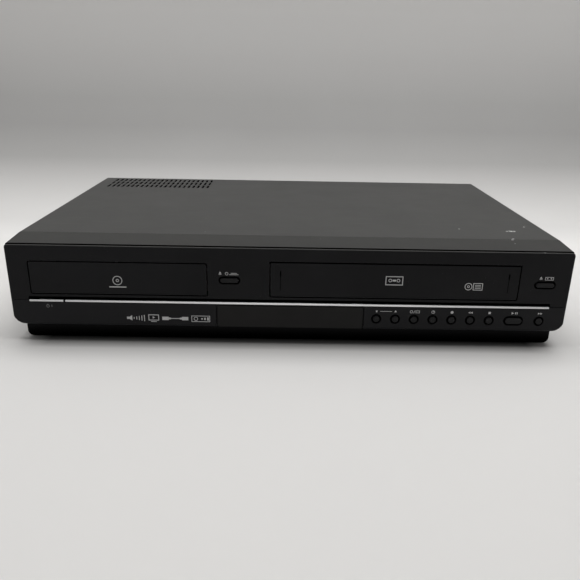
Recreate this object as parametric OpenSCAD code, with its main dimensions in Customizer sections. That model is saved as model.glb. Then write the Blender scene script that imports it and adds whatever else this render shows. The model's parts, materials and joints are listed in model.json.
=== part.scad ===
// Disc and tape combo player: cabinet, front keys, disc loader, tape deck and electronics.
// Millimetres, +X to the right, +Y to the back, +Z up, origin on the floor under the middle.

/* [Cabinet] */
// Width of the top cover
body_w = 430; // [428:1:450]
// Depth from the front face to the back edge of the top cover
body_d = 280; // [276:1:310]
// Height of the top cover above the floor
body_h = 80; // [79:0.5:90]
// Thickness of the cover's sheet steel
cover_t = 0.8; // [0.6:0.1:1.2]
// Height of the cover's lower edges above the floor
cover_low = 8; // [7:0.5:12]
// Inside radius of the bends along the cover's long top edges
cover_bend = 0.4; // [0.2:0.1:1.5]
// Thickness of the bottom pan's sheet steel
pan_t = 1; // [0.8:0.1:1.5]
// Height of the pan's turned-up sides
pan_side = 14; // [10:1:20]
// Thickness of the rear panel
rear_t = 1; // [0.8:0.1:1.5]
// How far the cover reaches past the rear panel
rear_lip = 1; // [0.5:0.1:3]

/* [Front panel] */
// Depth of the shelf on top of the front panel
shelf_d = 31; // [29:0.5:34]
// How far the shelf falls from the cover to its front edge
shelf_fall = 1.5; // [1:0.1:3]
// How far each side of the front panel draws in towards its front
side_taper = 0.8; // [0.5:0.1:2]
// Wall thickness of the mouldings
wall = 2.5; // [2.2:0.1:3]
// Height of the front panel's lower edge above the floor
panel_low = 14; // [13:0.1:15]
// Height of the seam between the upper and the lower front panel
seam_z = 34.4; // [34:0.1:36]
// Radius of the shelf's side edges
corner_top_r = 1; // [0.6:0.1:1.6]
// Radius of the face's upper corners seen from the front
face_r = 2; // [1.9:0.1:3]
// Radius of the face's upper edge
face_edge_r = 0.9; // [0.5:0.1:0.9]
// Thickness of the face's rim in front of the shadow groove
rim_t = 1.6; // [1.5:0.1:1.8]
// How far the rim lies below the shelf's front edge
rim_drop = 0.3; // [0.1:0.1:0.6]
// Radius of the lower corners seen from the front
corner_low_r = 9; // [6:0.1:11]
// Radius of the panel's lower front edge
front_edge_r = 1.8; // [1:0.1:2.4]
// Width of the shadow groove between the rim and the shelf
rim_groove = 1.6; // [1:0.1:2]
// Depth of the shadow groove
rim_groove_deep = 1.3; // [1:0.1:1.4]
// Height of the fine groove along the seam of the two panels
seam_groove = 0.4; // [0.3:0.05:0.6]
// Setback of the skirt behind the front face
skirt_back = 8; // [6:0.1:10]
// Inset of each end of the skirt
skirt_in = 6.7; // [5:0.1:9]
// Gap between the skirt and the floor
skirt_gap = 1; // [0.6:0.1:3]
// Radius of the skirt's lower end corners
skirt_r = 4.5; // [3:0.1:6]

/* [Trim strip] */
// Distance of the strip's left end, at the power key, from the cabinet's left edge
strip_in0 = 14.7; // [12:0.1:17]
// Distance of the strip's right end from the cabinet's right edge
strip_in1 = 14.2; // [12:0.1:17]
// Height of the bright strip
strip_h = 1.5; // [1.4:0.1:2]
// How far the strip reaches below the seam
strip_drop = 1.1; // [0.8:0.1:1.2]
// Height of the dark groove above the strip
groove_h = 2.6; // [2:0.1:2.8]
// Depth of the channel that holds the strip
strip_depth = 1.5; // [1.2:0.1:1.7]
// Width of the power key at the strip's left end
power_w = 26.5; // [20:0.1:30]
// How far the strip and the keys stand proud of the face
proud = 0.5; // [0.3:0.1:0.8]

/* [Openings] */
// Height of both doors' lower edge above the seam
slot_rise = 5.8; // [5.6:0.1:6]
// Weight of the free width left of the disc tray
room_left = 17.4; // [16:0.1:19]
// Weight of the free width between the disc tray and the cassette door
room_mid = 48.7; // [47:0.1:50]
// Weight of the free width right of the cassette door
room_right = 40.7; // [39:0.1:42]
// Width of the disc tray front
tray_front_w = 133.8; // [133:0.1:136]
// Height of the disc tray front
tray_front_h = 25; // [24:0.1:26]
// Width of the cassette door
door_w = 189.4; // [189:0.1:191]
// Height of the cassette door
door_h = 27.5; // [27.3:0.1:27.7]
// Thickness of the cassette door and the tray front
door_t = 2; // [1.8:0.1:2.2]
// Gap around a door in its opening
door_gap = 0.9; // [0.6:0.05:1]
// Gap over the cassette door's hinge
hinge_gap = 0.4; // [0.3:0.05:0.6]
// Corner radius of the openings
opening_r = 2; // [1:0.1:3]
// Radius of the cassette door's hinge pins
hinge_r = 0.7; // [0.6:0.05:0.8]

/* [Display] */
// Width of the smoked display window
window_w = 112.8; // [105:0.1:114]
// Height of the smoked display window
window_h = 17.6; // [16:0.1:18]
// Gap at both ends of the window
window_end_gap = 1; // [0.5:0.1:1.2]
// Thickness of the window
window_t = 2; // [1.5:0.1:2]
// Distance between the window and the first key's middle
window_key_gap = 10.7; // [10:0.1:12]

/* [Keys] */
// Radius of a round key cap
key_r = 2.5; // [2.3:0.1:2.8]
// Gap between a key and its hole
key_gap = 0.3; // [0.25:0.05:0.4]
// Travel of a key
key_travel = 0.8; // [0.5:0.1:1]
// Depth of the dished ring around a key
key_dish = 0.9; // [0.4:0.1:1.3]
// Width of the dished ring around a key
key_rim = 0.9; // [0.6:0.1:1.2]
// Height of the key row above the front panel's lower edge
key_rise = 8.8; // [8.4:0.1:9]
// Distance of the first key of the row from the cabinet's right edge
key_row_in = 147.6; // [146:0.1:149]
// Pitch of the row of round keys
key_pitch = 14.65; // [14:0.05:14.8]
// Length of the wide play key
play_w = 12.6; // [11:0.1:14]
// Height of the wide play key
play_h = 5; // [4.4:0.1:5.4]
// Length of the open/close and eject keys
load_key_w = 13.8; // [12:0.1:15]
// Height of the open/close and eject keys
load_key_h = 3.5; // [3.2:0.1:4.4]
// Distance of the open/close key's middle from the disc tray's front
open_key_in = 17.4; // [16:0.1:19]
// Height of the open/close and eject keys above the seam
load_key_rise = 18.2; // [17:0.1:20]

/* [Vents] */
// Number of vent slots in a row
vent_cols = 22; // [12:1:30]
// Number of rows of vent slots
vent_rows = 3; // [1:1:3]
// Pitch of the slots along a row
vent_pitch = 5.16; // [4.6:0.02:5.4]
// Distance between the rows
vent_row_pitch = 17.2; // [15:0.1:18]
// Length of a vent slot
vent_len = 13; // [10:0.1:14]
// Width of a vent slot
vent_w = 2.5; // [2:0.1:3]
// Distance of the vents from the cover's left edge
vent_edge = 14.6; // [12:0.1:18]
// Distance of the last row's middle from the cover's back edge
vent_back = 13; // [10:0.1:16]

/* [Disc loader] */
// Radius of the well for a large disc
disc_r = 60.6; // [60.4:0.1:61]
// Radius of the well for a small disc
small_disc_r = 40.6; // [40.4:0.1:41]
// Width of the tray
tray_w = 128; // [126:0.5:130]
// Thickness of the tray
tray_t = 5; // [4.5:0.1:5.5]
// Travel of the tray
tray_travel = 125; // [110:1:126]
// Height of the tray above the lower edge of its opening
tray_lift = 5.7; // [5:0.1:6]
// Distance of the disc's middle from the front face
disc_d = 74; // [72:0.5:76]
// Length of the loader frame
loader_len = 160; // [156:1:166]
// Radius of the disc clamper's flange
clamper_r = 15.5; // [14.5:0.1:17]
// Travel of the pickup
pickup_travel = 34; // [28:1:36]
// Radius of the pickup's guide rods
rod_r = 1.5; // [1.2:0.1:2]
// Module of the tray's rack and gear teeth
gear_m = 1; // [0.8:0.1:1.2]
// Number of teeth of the tray gear
gear_n = 16; // [12:1:20]

/* [Tape deck] */
// Width of the cassette space in the holder
cassette_w = 188.4; // [188:0.1:188.6]
// Height of the cassette space in the holder
cassette_h = 25.8; // [25.6:0.1:26]
// Depth of the cassette holder
holder_len = 50; // [46:0.5:51]
// Distance of the holder's front edge from the front face
holder_d = 30; // [29.5:0.1:32]
// Sheet thickness of the holder, the slider and the brackets
sheet_t = 1; // [0.8:0.1:1.1]
// Travel of the holder towards the back
load_in = 55; // [50:1:56]
// Width of the deck plate
deck_w = 216; // [212:1:220]
// Length of the deck plate
deck_len = 196; // [192:1:200]
// Thickness of the deck plate
deck_t = 1.5; // [1.2:0.1:2]
// Height of the loaded cassette above the deck plate
seat_h = 4.1; // [3.8:0.1:4.5]
// Radius of the head drum
drum_r = 31; // [29:0.1:31]
// Height of each half of the head drum
drum_h = 16; // [14:0.5:17]
// Lean of the head drum
drum_tilt = 5.9; // [0:0.1:6.5]
// Distance between the middles of the reels
reel_span = 92; // [90:0.5:94]
// Radius of a reel table
reel_r = 18; // [16:0.5:19]
// Radius of the capstan shaft
capstan_r = 1.5; // [1.2:0.1:2]
// Radius of the pinch roller
pinch_r = 7; // [6:0.1:7.4]

/* [Rear and feet] */
// Height of the feet
foot_h = 6; // [5.5:0.1:7]
// Radius of the feet
foot_r = 12; // [9:0.5:14]
// Pitch of the audio and video sockets
jack_pitch = 14; // [13:0.5:15]
// Number of audio and video sockets in a row
jack_cols = 6; // [3:1:7]
// Outer radius of an audio and video socket's sleeve
jack_r = 4.15; // [4:0.05:4.3]
// Outer radius of an aerial socket
aerial_r = 4.7; // [4.6:0.05:4.8]
// How far the sockets stand out of the rear panel
socket_len = 9; // [8:0.5:11]

/* [Hidden] */
$fn = 48;

eps = 0.01;
panel_c = [0.12, 0.12, 0.13];
clear = 0.3;
run = 0.05;
press_gap = 0.2;
seam_gap = 0.25;

// Depth of the whole object: key caps in front, sockets at the back
rear_d = body_d - rear_lip;
front_y = -(rear_d + socket_len - proud) / 2;

// Heights
cover_r = cover_bend + cover_t;
shelf_front_z = body_h - shelf_fall;
front_top = shelf_front_z - rim_drop;
shelf_front_d = rim_t + rim_groove;
shelf_slope = shelf_fall / (shelf_d - shelf_front_d);
pan_top = foot_h + pan_t;
slot_z = seam_z + slot_rise;
strip_low = seam_z - strip_drop;
key_z = panel_low + key_rise;
load_key_z = seam_z + load_key_rise;
power_z = strip_low + strip_h / 2;
board_z = pan_top + 7;
board_t = 1.6;

// Half widths
half = body_w / 2;
pan_half = half - cover_t;
skirt_half = half - skirt_in;

// Places across the front
spare = body_w - tray_front_w - door_w;
room = room_left + room_mid + room_right;
tray_x = -half + spare * room_left / room + tray_front_w / 2;
deck_x = half - spare * room_right / room - door_w / 2;
strip_x0 = -half + strip_in0;
strip_x1 = half - strip_in1;
key_x0 = half - key_row_in;
window_x = key_x0 - window_key_gap - window_w / 2;
open_key_x = tray_x + tray_front_w / 2 + open_key_in;
eject_key_x = (deck_x + door_w / 2 + half) / 2;

// Front board and its switches
switch_d = wall + 7;
front_board_d = switch_d + 4.5;
key_flange_t = 1.2;
key_flange_out = 1.4;
key_stem_end = switch_d - key_travel - press_gap;
board_ear_top = load_key_z + 7;
round_keys = 7;
play_x = key_x0 + (round_keys - 1) * key_pitch + 19.2;
forward_x = play_x + 19.9;
window_z = panel_low + 0.4 + window_h / 2;
window_rim = 2;
window_gap = 0.35;

// Disc loader
tray_z = slot_z + tray_lift;
tray_top = tray_z + tray_t;
well_deep = 2.5;
small_well_deep = 1.2;
tray_front_gap = door_t;
tray_slot_half = 24;
tray_edge_gap = 0.5;
loader_wall = 2;
loader_half = tray_w / 2 + tray_edge_gap + loader_wall;
loader_d = front_board_d + board_t + 2.4;
loader_low = tray_z - 10;
loader_floor_t = 2;
bridge_z = tray_top + 7;
bridge_t = 2;
bridge_hole_r = clamper_r - 2.5;
disc_seat_z = tray_top - 0.2;
traverse_low = loader_low + 1.2;
traverse_t = 2.4;
traverse_half = tray_slot_half - 1;
traverse_d0 = disc_d - 21;
rod_x = 16;
rod_z = traverse_low + traverse_t + 3.4;
lead_z = traverse_low + traverse_t / 2;
lead_r = 1;
pickup_d = disc_d + 17;
pickup_len = 24;
pickup_d0 = pickup_d + 0.6;
traverse_d1 = pickup_d0 + pickup_len + pickup_travel + 12.4;
gear_pitch_r = gear_m * gear_n / 2;
rack_x = tray_w / 2 - 9;
rack_tip_z = tray_z - 3.2;
gear_d = loader_d + 10;
tray_back = gear_d + tray_travel + 6.6;

// Tape deck
deck_d = 33;
deck_z = pan_top + 5.5;
deck_top = deck_z + deck_t;
cassette_z = slot_z - door_gap + 0.8;
loaded_z = deck_top + seat_h;
load_down = cassette_z - loaded_z;
post_top = cassette_z - sheet_t - 1;
holder_half = cassette_w / 2 + sheet_t;
slider_half = holder_half + 0.4 + sheet_t;
bracket_half = slider_half + 0.4 + sheet_t;
holder_top = cassette_z + cassette_h + sheet_t;
holder_pin_r = 1.5;
slider_pin_r = 1.7;
holder_pin_z = cassette_z + 19.5;
slider_pin_z = holder_pin_z + 5.6;
slider_d0 = holder_d + 4;
slider_d1 = holder_d + holder_len - 4;
slider_top = holder_top + 2.4;
bracket_top = slider_pin_z + 5;
bracket_d1 = slider_d1 + load_in + 12;
drum_d = 183;
drum_base_z = deck_top + 3.6;
drum_gap = 0.3;
reel_d = 76;
capstan_x = 46;
capstan_d = 139;
pinch_pivot_x = capstan_x + 20;
pinch_pivot_d = capstan_d + 17;
pole_x = capstan_x + 1.6;
pole_d = capstan_d + 27;
pinch_reach = 17.5;
pinch_rest_a = 183;
guide_start = [34, reel_d + 46];
guide_end = [40, drum_d - 7];
guide_slot_w = 5;
tension_x = -66;
tension_d = drum_d - 37;
motor_d = deck_d + deck_len - 13;
tension_reach = 26;
tension_a = -45;
spool_r = 6;

// Boards: the power board at the rear left, the main board beside and before it
board_x0 = -pan_half + 6;
main_x1 = deck_x - deck_w / 2 - 5.6;
main_neck = 24;
power_x1 = main_x1 - main_neck - 4;
power_d0 = rear_d - 70;
rear_strip_d = deck_d + deck_len + 9;

// Rear
jack_row_z = board_z + 16;
jack_row_pitch = 16;
jack_x0 = power_x1 + 22;
aerial_x = half - 65;
aerial_pitch = 26;
aerial_hole = 1.4;
inlet_x = -half + 37;
inlet_z = board_z + 20;

// ---- helpers ----

// Children moved to x, a depth from the front face and a height
module at(x, d, z) {
    translate([x, front_y + d, z]) children();
}

// Flat children of the X-Z plane drawn over a stretch of depth
module along_y(d0, d1) {
    at(0, d1, 0) rotate([90, 0, 0]) linear_extrude(d1 - d0) children();
}

// Flat children of the Y-Z plane, with Y from the front face
module along_x(x0, x1) {
    translate([x0, front_y, 0]) rotate([90, 0, 90]) linear_extrude(x1 - x0) children();
}

// Flat children of the X-Y plane, with Y from the front face
module along_z(z0, z1) {
    translate([0, front_y, z0]) linear_extrude(z1 - z0) children();
}

// A box between two corners, depths from the front face
module block(x0, x1, d0, d1, z0, z1) {
    at(x0, d0, z0) cube([x1 - x0, d1 - d0, z1 - z0]);
}

module rounded(w, h, r) {
    square([w - 2 * r, h], center = true);
    square([w, h - 2 * r], center = true);
    for (i = [-1, 1], j = [-1, 1]) translate([i * (w / 2 - r), j * (h / 2 - r)]) circle(r);
}

module pill(w, h) {
    square([w - h, h], center = true);
    for (i = [-1, 1]) translate([i * (w - h) / 2, 0]) circle(h / 2);
}

// Upright cylinder, placed by its middle and two heights
module post(x, d, r, z0, z1) {
    at(x, d, z0) cylinder(h = z1 - z0, r = r);
}

// Cylinders along X and along Y, placed by their start
module pin_x(x, d, z, r, len) {
    at(x, d, z) rotate([0, 90, 0]) cylinder(h = len, r = r);
}

module pin_y(x, d, z, r, len) {
    at(x, d, z) rotate([-90, 0, 0]) cylinder(h = len, r = r);
}

// ---- casing ----

module cover_outline(g) {
    w = half - g;
    r = cover_r - g;
    top = body_h - g;
    translate([-w, cover_low - (g > 0 ? 1 : 0)]) square([2 * w, top - r - cover_low + (g > 0 ? 1 : 0)]);
    translate([-w + r, top - r - 1]) square([2 * (w - r), r + 1]);
    for (i = [-1, 1]) translate([i * (w - r), top - r]) circle(r);
}

module vent_slots() {
    for (i = [0 : vent_cols - 1], j = [0 : vent_rows - 1]) {
        translate([-half + vent_edge + vent_w / 2 + i * vent_pitch, body_d - vent_back - j * vent_row_pitch])
            rotate(90) pill(vent_len, vent_w);
    }
}

// Places of the screws: [x, depth, height]
side_screws = [for (d = [shelf_d + 30, body_d - 25]) d];
rear_screws = [-half + 24, 0, half - 24];
jack_screws = [jack_x0 - 14, jack_x0 + jack_cols * jack_pitch];
side_screw_z = pan_top + pan_side / 2;
rear_screw_z = body_h - 7;
screw_r = 1.6;
screw_head_r = 3.2;
screw_head_t = 1.4;

module top_cover() {
    color("dimgray") difference() {
        union() {
            along_y(shelf_d + seam_gap, body_d) difference() {
                cover_outline(0);
                cover_outline(cover_t);
            }
            for (x = rear_screws)
                block(x - 9, x + 9, rear_d, rear_d + cover_t, rear_screw_z - 5, body_h - cover_t / 2);
        }
        along_z(body_h - cover_t - 1, body_h + 1) vent_slots();
        for (d = side_screws) pin_x(-half - 1, d, side_screw_z, screw_r + run, body_w + 2);
        for (x = rear_screws) pin_y(x, rear_d - 1, rear_screw_z, screw_r + run, cover_t + 2);
    }
}

module chassis_pan() {
    color("silver") difference() {
        union() {
            block(-skirt_half + wall + clear, skirt_half - wall - clear,
                skirt_back + wall, shelf_d + 1, foot_h, pan_top);
            block(-pan_half, pan_half, shelf_d + 0.5, rear_d, foot_h, pan_top);
            for (i = [-1, 1]) {
                x = i * (pan_half - pan_t / 2);
                block(x - pan_t / 2, x + pan_t / 2, shelf_d + 0.5,
                    rear_d - rear_t, foot_h, pan_top + pan_side);
            }
            for (p = loader_posts) post(p[0], p[1], 4, pan_top - eps, loader_low);
            for (p = board_posts) post(p[0], p[1], 3, pan_top - eps, board_z);
            for (p = deck_posts) post(p[0], p[1], 4, pan_top - eps, deck_z);
        }
        for (i = [-1, 1], d = side_screws)
            pin_x(i * (pan_half - pan_t / 2) - 1.5 * pan_t, d, side_screw_z, screw_r, 3 * pan_t);
        for (i = [-3 : 3]) at(tray_x + i * 16, 120, foot_h - 1)
            linear_extrude(pan_t + 2) rotate(90) pill(40, 4);
    }
}

loader_posts = [for (i = [-1, 1], d = [shelf_d + 5, loader_d + loader_len - 8])
    [tray_x + i * (loader_half - 5), d]];
board_posts = concat([[-pan_half + 12, power_d0 - 59], [main_x1 - 6, 60], [main_x1 - 6, power_d0 - 19]],
    [for (x = [board_x0 + 7, power_x1 - 14], d = [power_d0 + 7, rear_d - 13]) [x, d]],
    [for (x = [jack_x0 + 80, aerial_x + 30]) [x, rear_d - 8]]);
deck_posts = [for (i = [-1, 1], d = [deck_d + 8, deck_d + deck_len - 8]) [deck_x + i * (deck_w / 2 - 8), d]];

module rear_panel() {
    color("silver") difference() {
        along_y(rear_d - rear_t, rear_d) difference() {
            intersection() {
                cover_outline(cover_t);
                translate([-half, foot_h]) square([body_w, body_h]);
            }
            for (c = [0 : jack_cols - 1], r = [0, 1])
                translate([jack_x0 + c * jack_pitch, jack_row_z + r * jack_row_pitch]) circle(jack_r + 1.2);
            for (k = [0, 1])
                translate([aerial_x + k * aerial_pitch, jack_row_z + 6]) circle(aerial_r + aerial_hole);
            translate([hdmi_x, jack_row_z]) square([hdmi_w + 1, hdmi_h + 1], center = true);
            translate([hdmi_x, jack_row_z + jack_row_pitch]) circle(svideo_r + 0.6);
            translate([inlet_x, inlet_z]) square([inlet_w + 0.4, inlet_h + 0.4], center = true);
            for (i = [0 : 9]) translate([power_x1 - 58.2 + i * 6, 52]) rounded(2.4, 22, 1.1);
            for (x = rear_screws) translate([x, rear_screw_z]) circle(screw_r);
            for (x = jack_screws) translate([x, jack_row_z + 8]) circle(screw_r);
        }
    }
}

module feet() {
    color("black") for (i = [-1, 1], d = [46, body_d - 34]) {
        at(i * (half - 36), d, 0) difference() {
            union() {
                cylinder(h = 2.2, r = foot_r - 1.4);
                translate([0, 0, 1.2]) cylinder(h = foot_h - 1.2, r = foot_r);
            }
            translate([0, 0, -1]) cylinder(h = foot_h - 1, r = foot_r - 6);
        }
    }
}

// A screw whose head stands up from its seat
module screw(head_r) {
    difference() {
        union() {
            cylinder(h = screw_head_t, r = head_r);
            translate([0, 0, -5]) cylinder(h = 5 + eps, r = screw_r);
        }
        for (a = [0, 90]) rotate(a) translate([-head_r * 0.62, -0.35, screw_head_t - 0.7])
            cube([head_r * 1.24, 0.7, 1]);
    }
}

module case_screws() {
    color("dimgray") {
        for (i = [-1, 1], d = side_screws)
            at(i * half, d, side_screw_z) rotate([0, i * 90, 0]) screw(screw_head_r);
        for (x = rear_screws) at(x, rear_d + cover_t, rear_screw_z) rotate([-90, 0, 0]) screw(screw_head_r);
        for (x = jack_screws) at(x, rear_d, jack_row_z + 8) rotate([-90, 0, 0]) screw(screw_head_r - 0.6);
    }
}

// ---- front panel ----

// Outline of the panel's hollow seen from the front
module hollow_outline() {
    w = half - wall;
    low = panel_low + wall;
    top = body_h - wall;
    rl = corner_low_r - wall;
    rt = 1;
    translate([-w, low + rl]) square([2 * w, top - rt - low - rl]);
    translate([-w + rl, low]) square([2 * (w - rl), rl + 1]);
    translate([-w + rt, top - rt - 1]) square([2 * (w - rt), rt + 1]);
    for (i = [-1, 1]) {
        translate([i * (w - rl), low + rl]) circle(rl);
        translate([i * (w - rt), top - rt]) circle(rt);
    }
}

// What is taken off one corner of the face at x, z: a block less the round corner with its round front edge
module corner_cut(side, up, x, z, r, edge, deep) {
    translate([side * x, front_y, z]) difference() {
        translate([side > 0 ? 0 : -r - 1, -1, up > 0 ? 0 : -r - 1]) cube([r + 1, deep, r + 1]);
        rotate([-90, 0, 0]) rotate_extrude() {
            square([r - edge, deep]);
            translate([0, edge]) square([r, deep - edge]);
            translate([r - edge, edge]) circle(edge);
        }
    }
}

// What is taken off one upper side edge, along the shelf's fall and the side's taper
module top_corner_cut(side) {
    r = corner_top_r;
    translate([side * (half - side_taper), front_y, body_h - shelf_slope * shelf_d])
        rotate([atan(shelf_slope), 0, -side * atan(side_taper / shelf_d)]) difference() {
            translate([side > 0 ? -r : -1, -2, -r]) cube([r + 1, shelf_d + 4, r + 1]);
            translate([-side * r, -3, -r]) rotate([-90, 0, 0]) cylinder(h = shelf_d + 6, r = r);
        }
}

// The panel's outer form
module panel_shell() {
    front_half = half - side_taper;
    side_r = 0.5;
    low = panel_low + front_edge_r;
    taper = side_taper / shelf_d;
    difference() {
        intersection() {
            along_x(-half - 1, half + 1) {
                polygon([
                    [0, low], [0, front_top - face_edge_r], [face_edge_r, front_top - face_edge_r],
                    [face_edge_r, front_top], [shelf_front_d, front_top], [shelf_front_d, shelf_front_z],
                    [shelf_d, body_h], [shelf_d, panel_low], [front_edge_r, panel_low], [front_edge_r, low]
                ]);
                translate([front_edge_r, low]) circle(front_edge_r);
                translate([face_edge_r, front_top - face_edge_r]) circle(face_edge_r);
            }
            along_z(panel_low - 2, body_h + 2) polygon([
                [side_r - front_half, 0], [front_half - side_r, 0], [front_half + taper * side_r, side_r],
                [half, shelf_d], [-half, shelf_d], [-front_half - taper * side_r, side_r]
            ]);
        }
        for (side = [-1, 1]) {
            corner_cut(side, -1, half - corner_low_r, panel_low + corner_low_r,
                corner_low_r, front_edge_r, shelf_d + 2);
            corner_cut(side, 1, front_half - face_r, front_top - face_r,
                face_r, face_edge_r, shelf_front_d + 1);
            top_corner_cut(side);
        }
    }
}

// What stays of the upper panel where the shadow groove runs round it
module groove_root() {
    w = half - side_taper - rim_groove_deep;
    r = face_r - rim_groove_deep;
    top = front_top - rim_groove_deep;
    translate([-w, seam_z - 2]) square([2 * w, top - r - seam_z + 2]);
    translate([-w + r, top - r - 1]) square([2 * (w - r), r + 1]);
    for (i = [-1, 1]) translate([i * (w - r), top - r]) circle(r);
}

// The hollow of the panel, drawn in by the wall
module panel_hollow() {
    front_half = half - side_taper - wall;
    taper = side_taper / shelf_d;
    far = shelf_d + 1;
    intersection() {
        along_y(wall, far) hollow_outline();
        along_x(-half - 1, half + 1) polygon([
            [wall, panel_low - 1], [wall, body_h - wall - shelf_slope * (shelf_d - wall)],
            [far, body_h - wall + shelf_slope], [far, panel_low - 1]
        ]);
        along_z(panel_low - 2, body_h + 2) polygon([
            [-front_half, wall], [front_half, wall],
            [front_half + taper * (far - wall), far], [-front_half - taper * (far - wall), far]
        ]);
    }
}

module tray_opening() {
    translate([tray_x, slot_z + tray_front_h / 2])
        rounded(tray_front_w + 2 * door_gap, tray_front_h + 2 * door_gap, opening_r);
}

// The hinged door's opening has square upper corners
module door_opening() {
    w = door_w + 2 * door_gap;
    translate([deck_x, slot_z + 5]) rounded(w, 10 + 2 * door_gap, opening_r);
    translate([deck_x - w / 2, slot_z + 5]) square([w, door_h - 5 + hinge_gap]);
}

// The channel along the seam that holds the bright strip under its dark groove
module strip_channel() {
    w = strip_x1 - strip_x0 + 2 * strip_fit;
    along_y(-1, strip_depth) translate([(strip_x0 + strip_x1) / 2, power_z]) {
        rounded(w, strip_h + 2 * strip_fit, strip_end_r + strip_fit);
        translate([0, (strip_h / 2 + groove_h) / 2]) rounded(w, strip_h / 2 + groove_h, strip_end_r);
    }
}

strip_fit = 0.3;
strip_end_r = strip_h / 2 - 0.1;
power_stem_h = strip_h - 0.3;

module power_hole() {
    along_y(0, wall + 1) translate([strip_x0 + power_w / 2, power_z])
        rounded(12 + 2 * clear, power_stem_h + 2 * clear, 0.6);
}

// Hole of a key of w by h with the dished ring around it
module key_hole(x, z, w, h) {
    r = h / 2 + key_gap;
    over = 0.2;
    rim = key_rim * (1 + over / key_dish);
    along_y(-1, wall + 1) translate([x, z]) if (w > h) pill(w + 2 * key_gap, 2 * r); else circle(r);
    for (i = w > h ? [-1, 1] : [0]) translate([x + i * (w - h) / 2, front_y - over, z])
        rotate([-90, 0, 0]) cylinder(h = key_dish + over, r1 = r + rim, r2 = r);
    if (w > h) along_x(x - (w - h) / 2, x + (w - h) / 2) polygon([
        [-over, z - r - rim], [key_dish, z - r], [key_dish, z + r], [-over, z + r + rim]
    ]);
}

module upper_front_panel() {
    hx = door_w / 2 + door_gap;
    color(panel_c) difference() {
        union() {
            intersection() {
                difference() {
                    panel_shell();
                    panel_hollow();
                }
                block(-half, half, -1, shelf_d + 1, seam_z, body_h + 1);
            }
            // Lip that the cover's front edge lies on
            block(-half + 12, half - 12, shelf_d - 1, shelf_d + 6, body_h - cover_t - 1.6, body_h - cover_t);
        }
        along_y(-1, wall + 1) tray_opening();
        along_y(-1, wall + 1) door_opening();
        strip_channel();
        power_hole();
        for (x = [open_key_x, eject_key_x]) key_hole(x, load_key_z, load_key_w, load_key_h);
        // Shadow groove that parts the face's rim from the shelf and the sides
        along_y(rim_t, shelf_front_d) difference() {
            translate([-half - 1, seam_z - 1]) square([body_w + 2, body_h]);
            groove_root();
        }
        // Fine groove along the seam
        block(-half - 1, half + 1, -1, 0.5, seam_z - 1, seam_z + seam_groove);
        // Holes for the cassette door's hinge pins
        pin_x(deck_x - hx - 4, hinge_d, hinge_z, hinge_r + run, 2 * hx + 8);
    }
}

hinge_d = 1.2;
barrel_r = 1.2;
pin_reach = door_gap + 1.5;
hinge_z = slot_z + door_h - barrel_r;

module lower_front_panel() {
    color(panel_c) difference() {
        union() {
            intersection() {
                difference() {
                    panel_shell();
                    panel_hollow();
                }
                block(-half, half, -1, shelf_d + 1, panel_low - 1, seam_z);
            }
            // Skirt under the panel
            difference() {
                along_y(skirt_back, shelf_d) skirt_outline(0);
                along_y(skirt_back + wall, shelf_d + 1) skirt_outline(wall);
            }
            // Clips that reach up behind the upper panel
            for (x = clip_x) {
                block(x, x + 10, wall + 0.1, wall + 2, seam_z - 6, seam_z + 3);
                block(x, x + 10, wall - eps, wall + 2, seam_z - 6, seam_z - 1);
            }
        }
        strip_channel();
        power_hole();
        // Window rebate and the light opening behind it
        along_y(-1, window_t) translate([window_x, window_z])
            rounded(window_w + 2 * window_end_gap, window_h + 2 * window_gap, 1);
        along_y(-1, wall + 1) translate([window_x, window_z])
            square([window_w - 2 * window_rim, window_h - 2 * window_rim], center = true);
        for (x = row_x) key_hole(x, key_z, 2 * key_r, 2 * key_r);
        key_hole(play_x, key_z, play_w, play_h);
    }
}

clip_x = [-half + 65, window_x - 74, window_x + 58, half - 65];
row_x = concat([for (i = [0 : round_keys - 1]) key_x0 + i * key_pitch], [forward_x]);

module skirt_outline(g) {
    w = skirt_half - g;
    low = skirt_gap;
    translate([-w, low + skirt_r]) square([2 * w, panel_low + 1 - low - skirt_r]);
    translate([-w + skirt_r, low - (g > 0 ? 1 : 0)]) square([2 * (w - skirt_r), skirt_r + 2]);
    if (g == 0) for (i = [-1, 1]) translate([i * (w - skirt_r), low + skirt_r]) circle(skirt_r);
    if (g > 0) translate([-w, low - 1]) square([2 * w, skirt_r + 2]);
}

module trim_strip() {
    x0 = strip_x0 + power_w + 0.6;
    color("silver") along_y(-proud / 2, strip_depth)
        translate([(x0 + strip_x1) / 2, power_z]) rounded(strip_x1 - x0, strip_h, strip_end_r);
}

module display_window() {
    color([0.1, 0.09, 0.09]) along_y(0, window_t) translate([window_x, window_z])
        rounded(window_w, window_h, 0.9);
}

module cassette_door() {
    color(panel_c) difference() {
        union() {
            along_y(0, door_t) {
                translate([deck_x, slot_z + 5]) rounded(door_w, 10, opening_r - door_gap);
                translate([deck_x - door_w / 2, slot_z + 3]) square([door_w, door_h - barrel_r - 3]);
            }
            pin_x(deck_x - door_w / 2, hinge_d, hinge_z, barrel_r, door_w);
            pin_x(deck_x - door_w / 2 - pin_reach, hinge_d, hinge_z, hinge_r, door_w + 2 * pin_reach);
        }
        for (x = [deck_x - 87.1, deck_x + 86.9]) {
            block(x - 0.5, x + 0.5, -1, 1, slot_z + 16.3, slot_z + 20.7);
            block(x - 0.2, x + 0.2, -1, 0.3, slot_z + 5.1, slot_z + 16.7);
        }
    }
}

spring_r = 1.9;
spring_wire = 0.3;
spring_turns = 5;
spring_pitch = 0.7;
spring_x = deck_x + door_w / 2 + 5.5;

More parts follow.
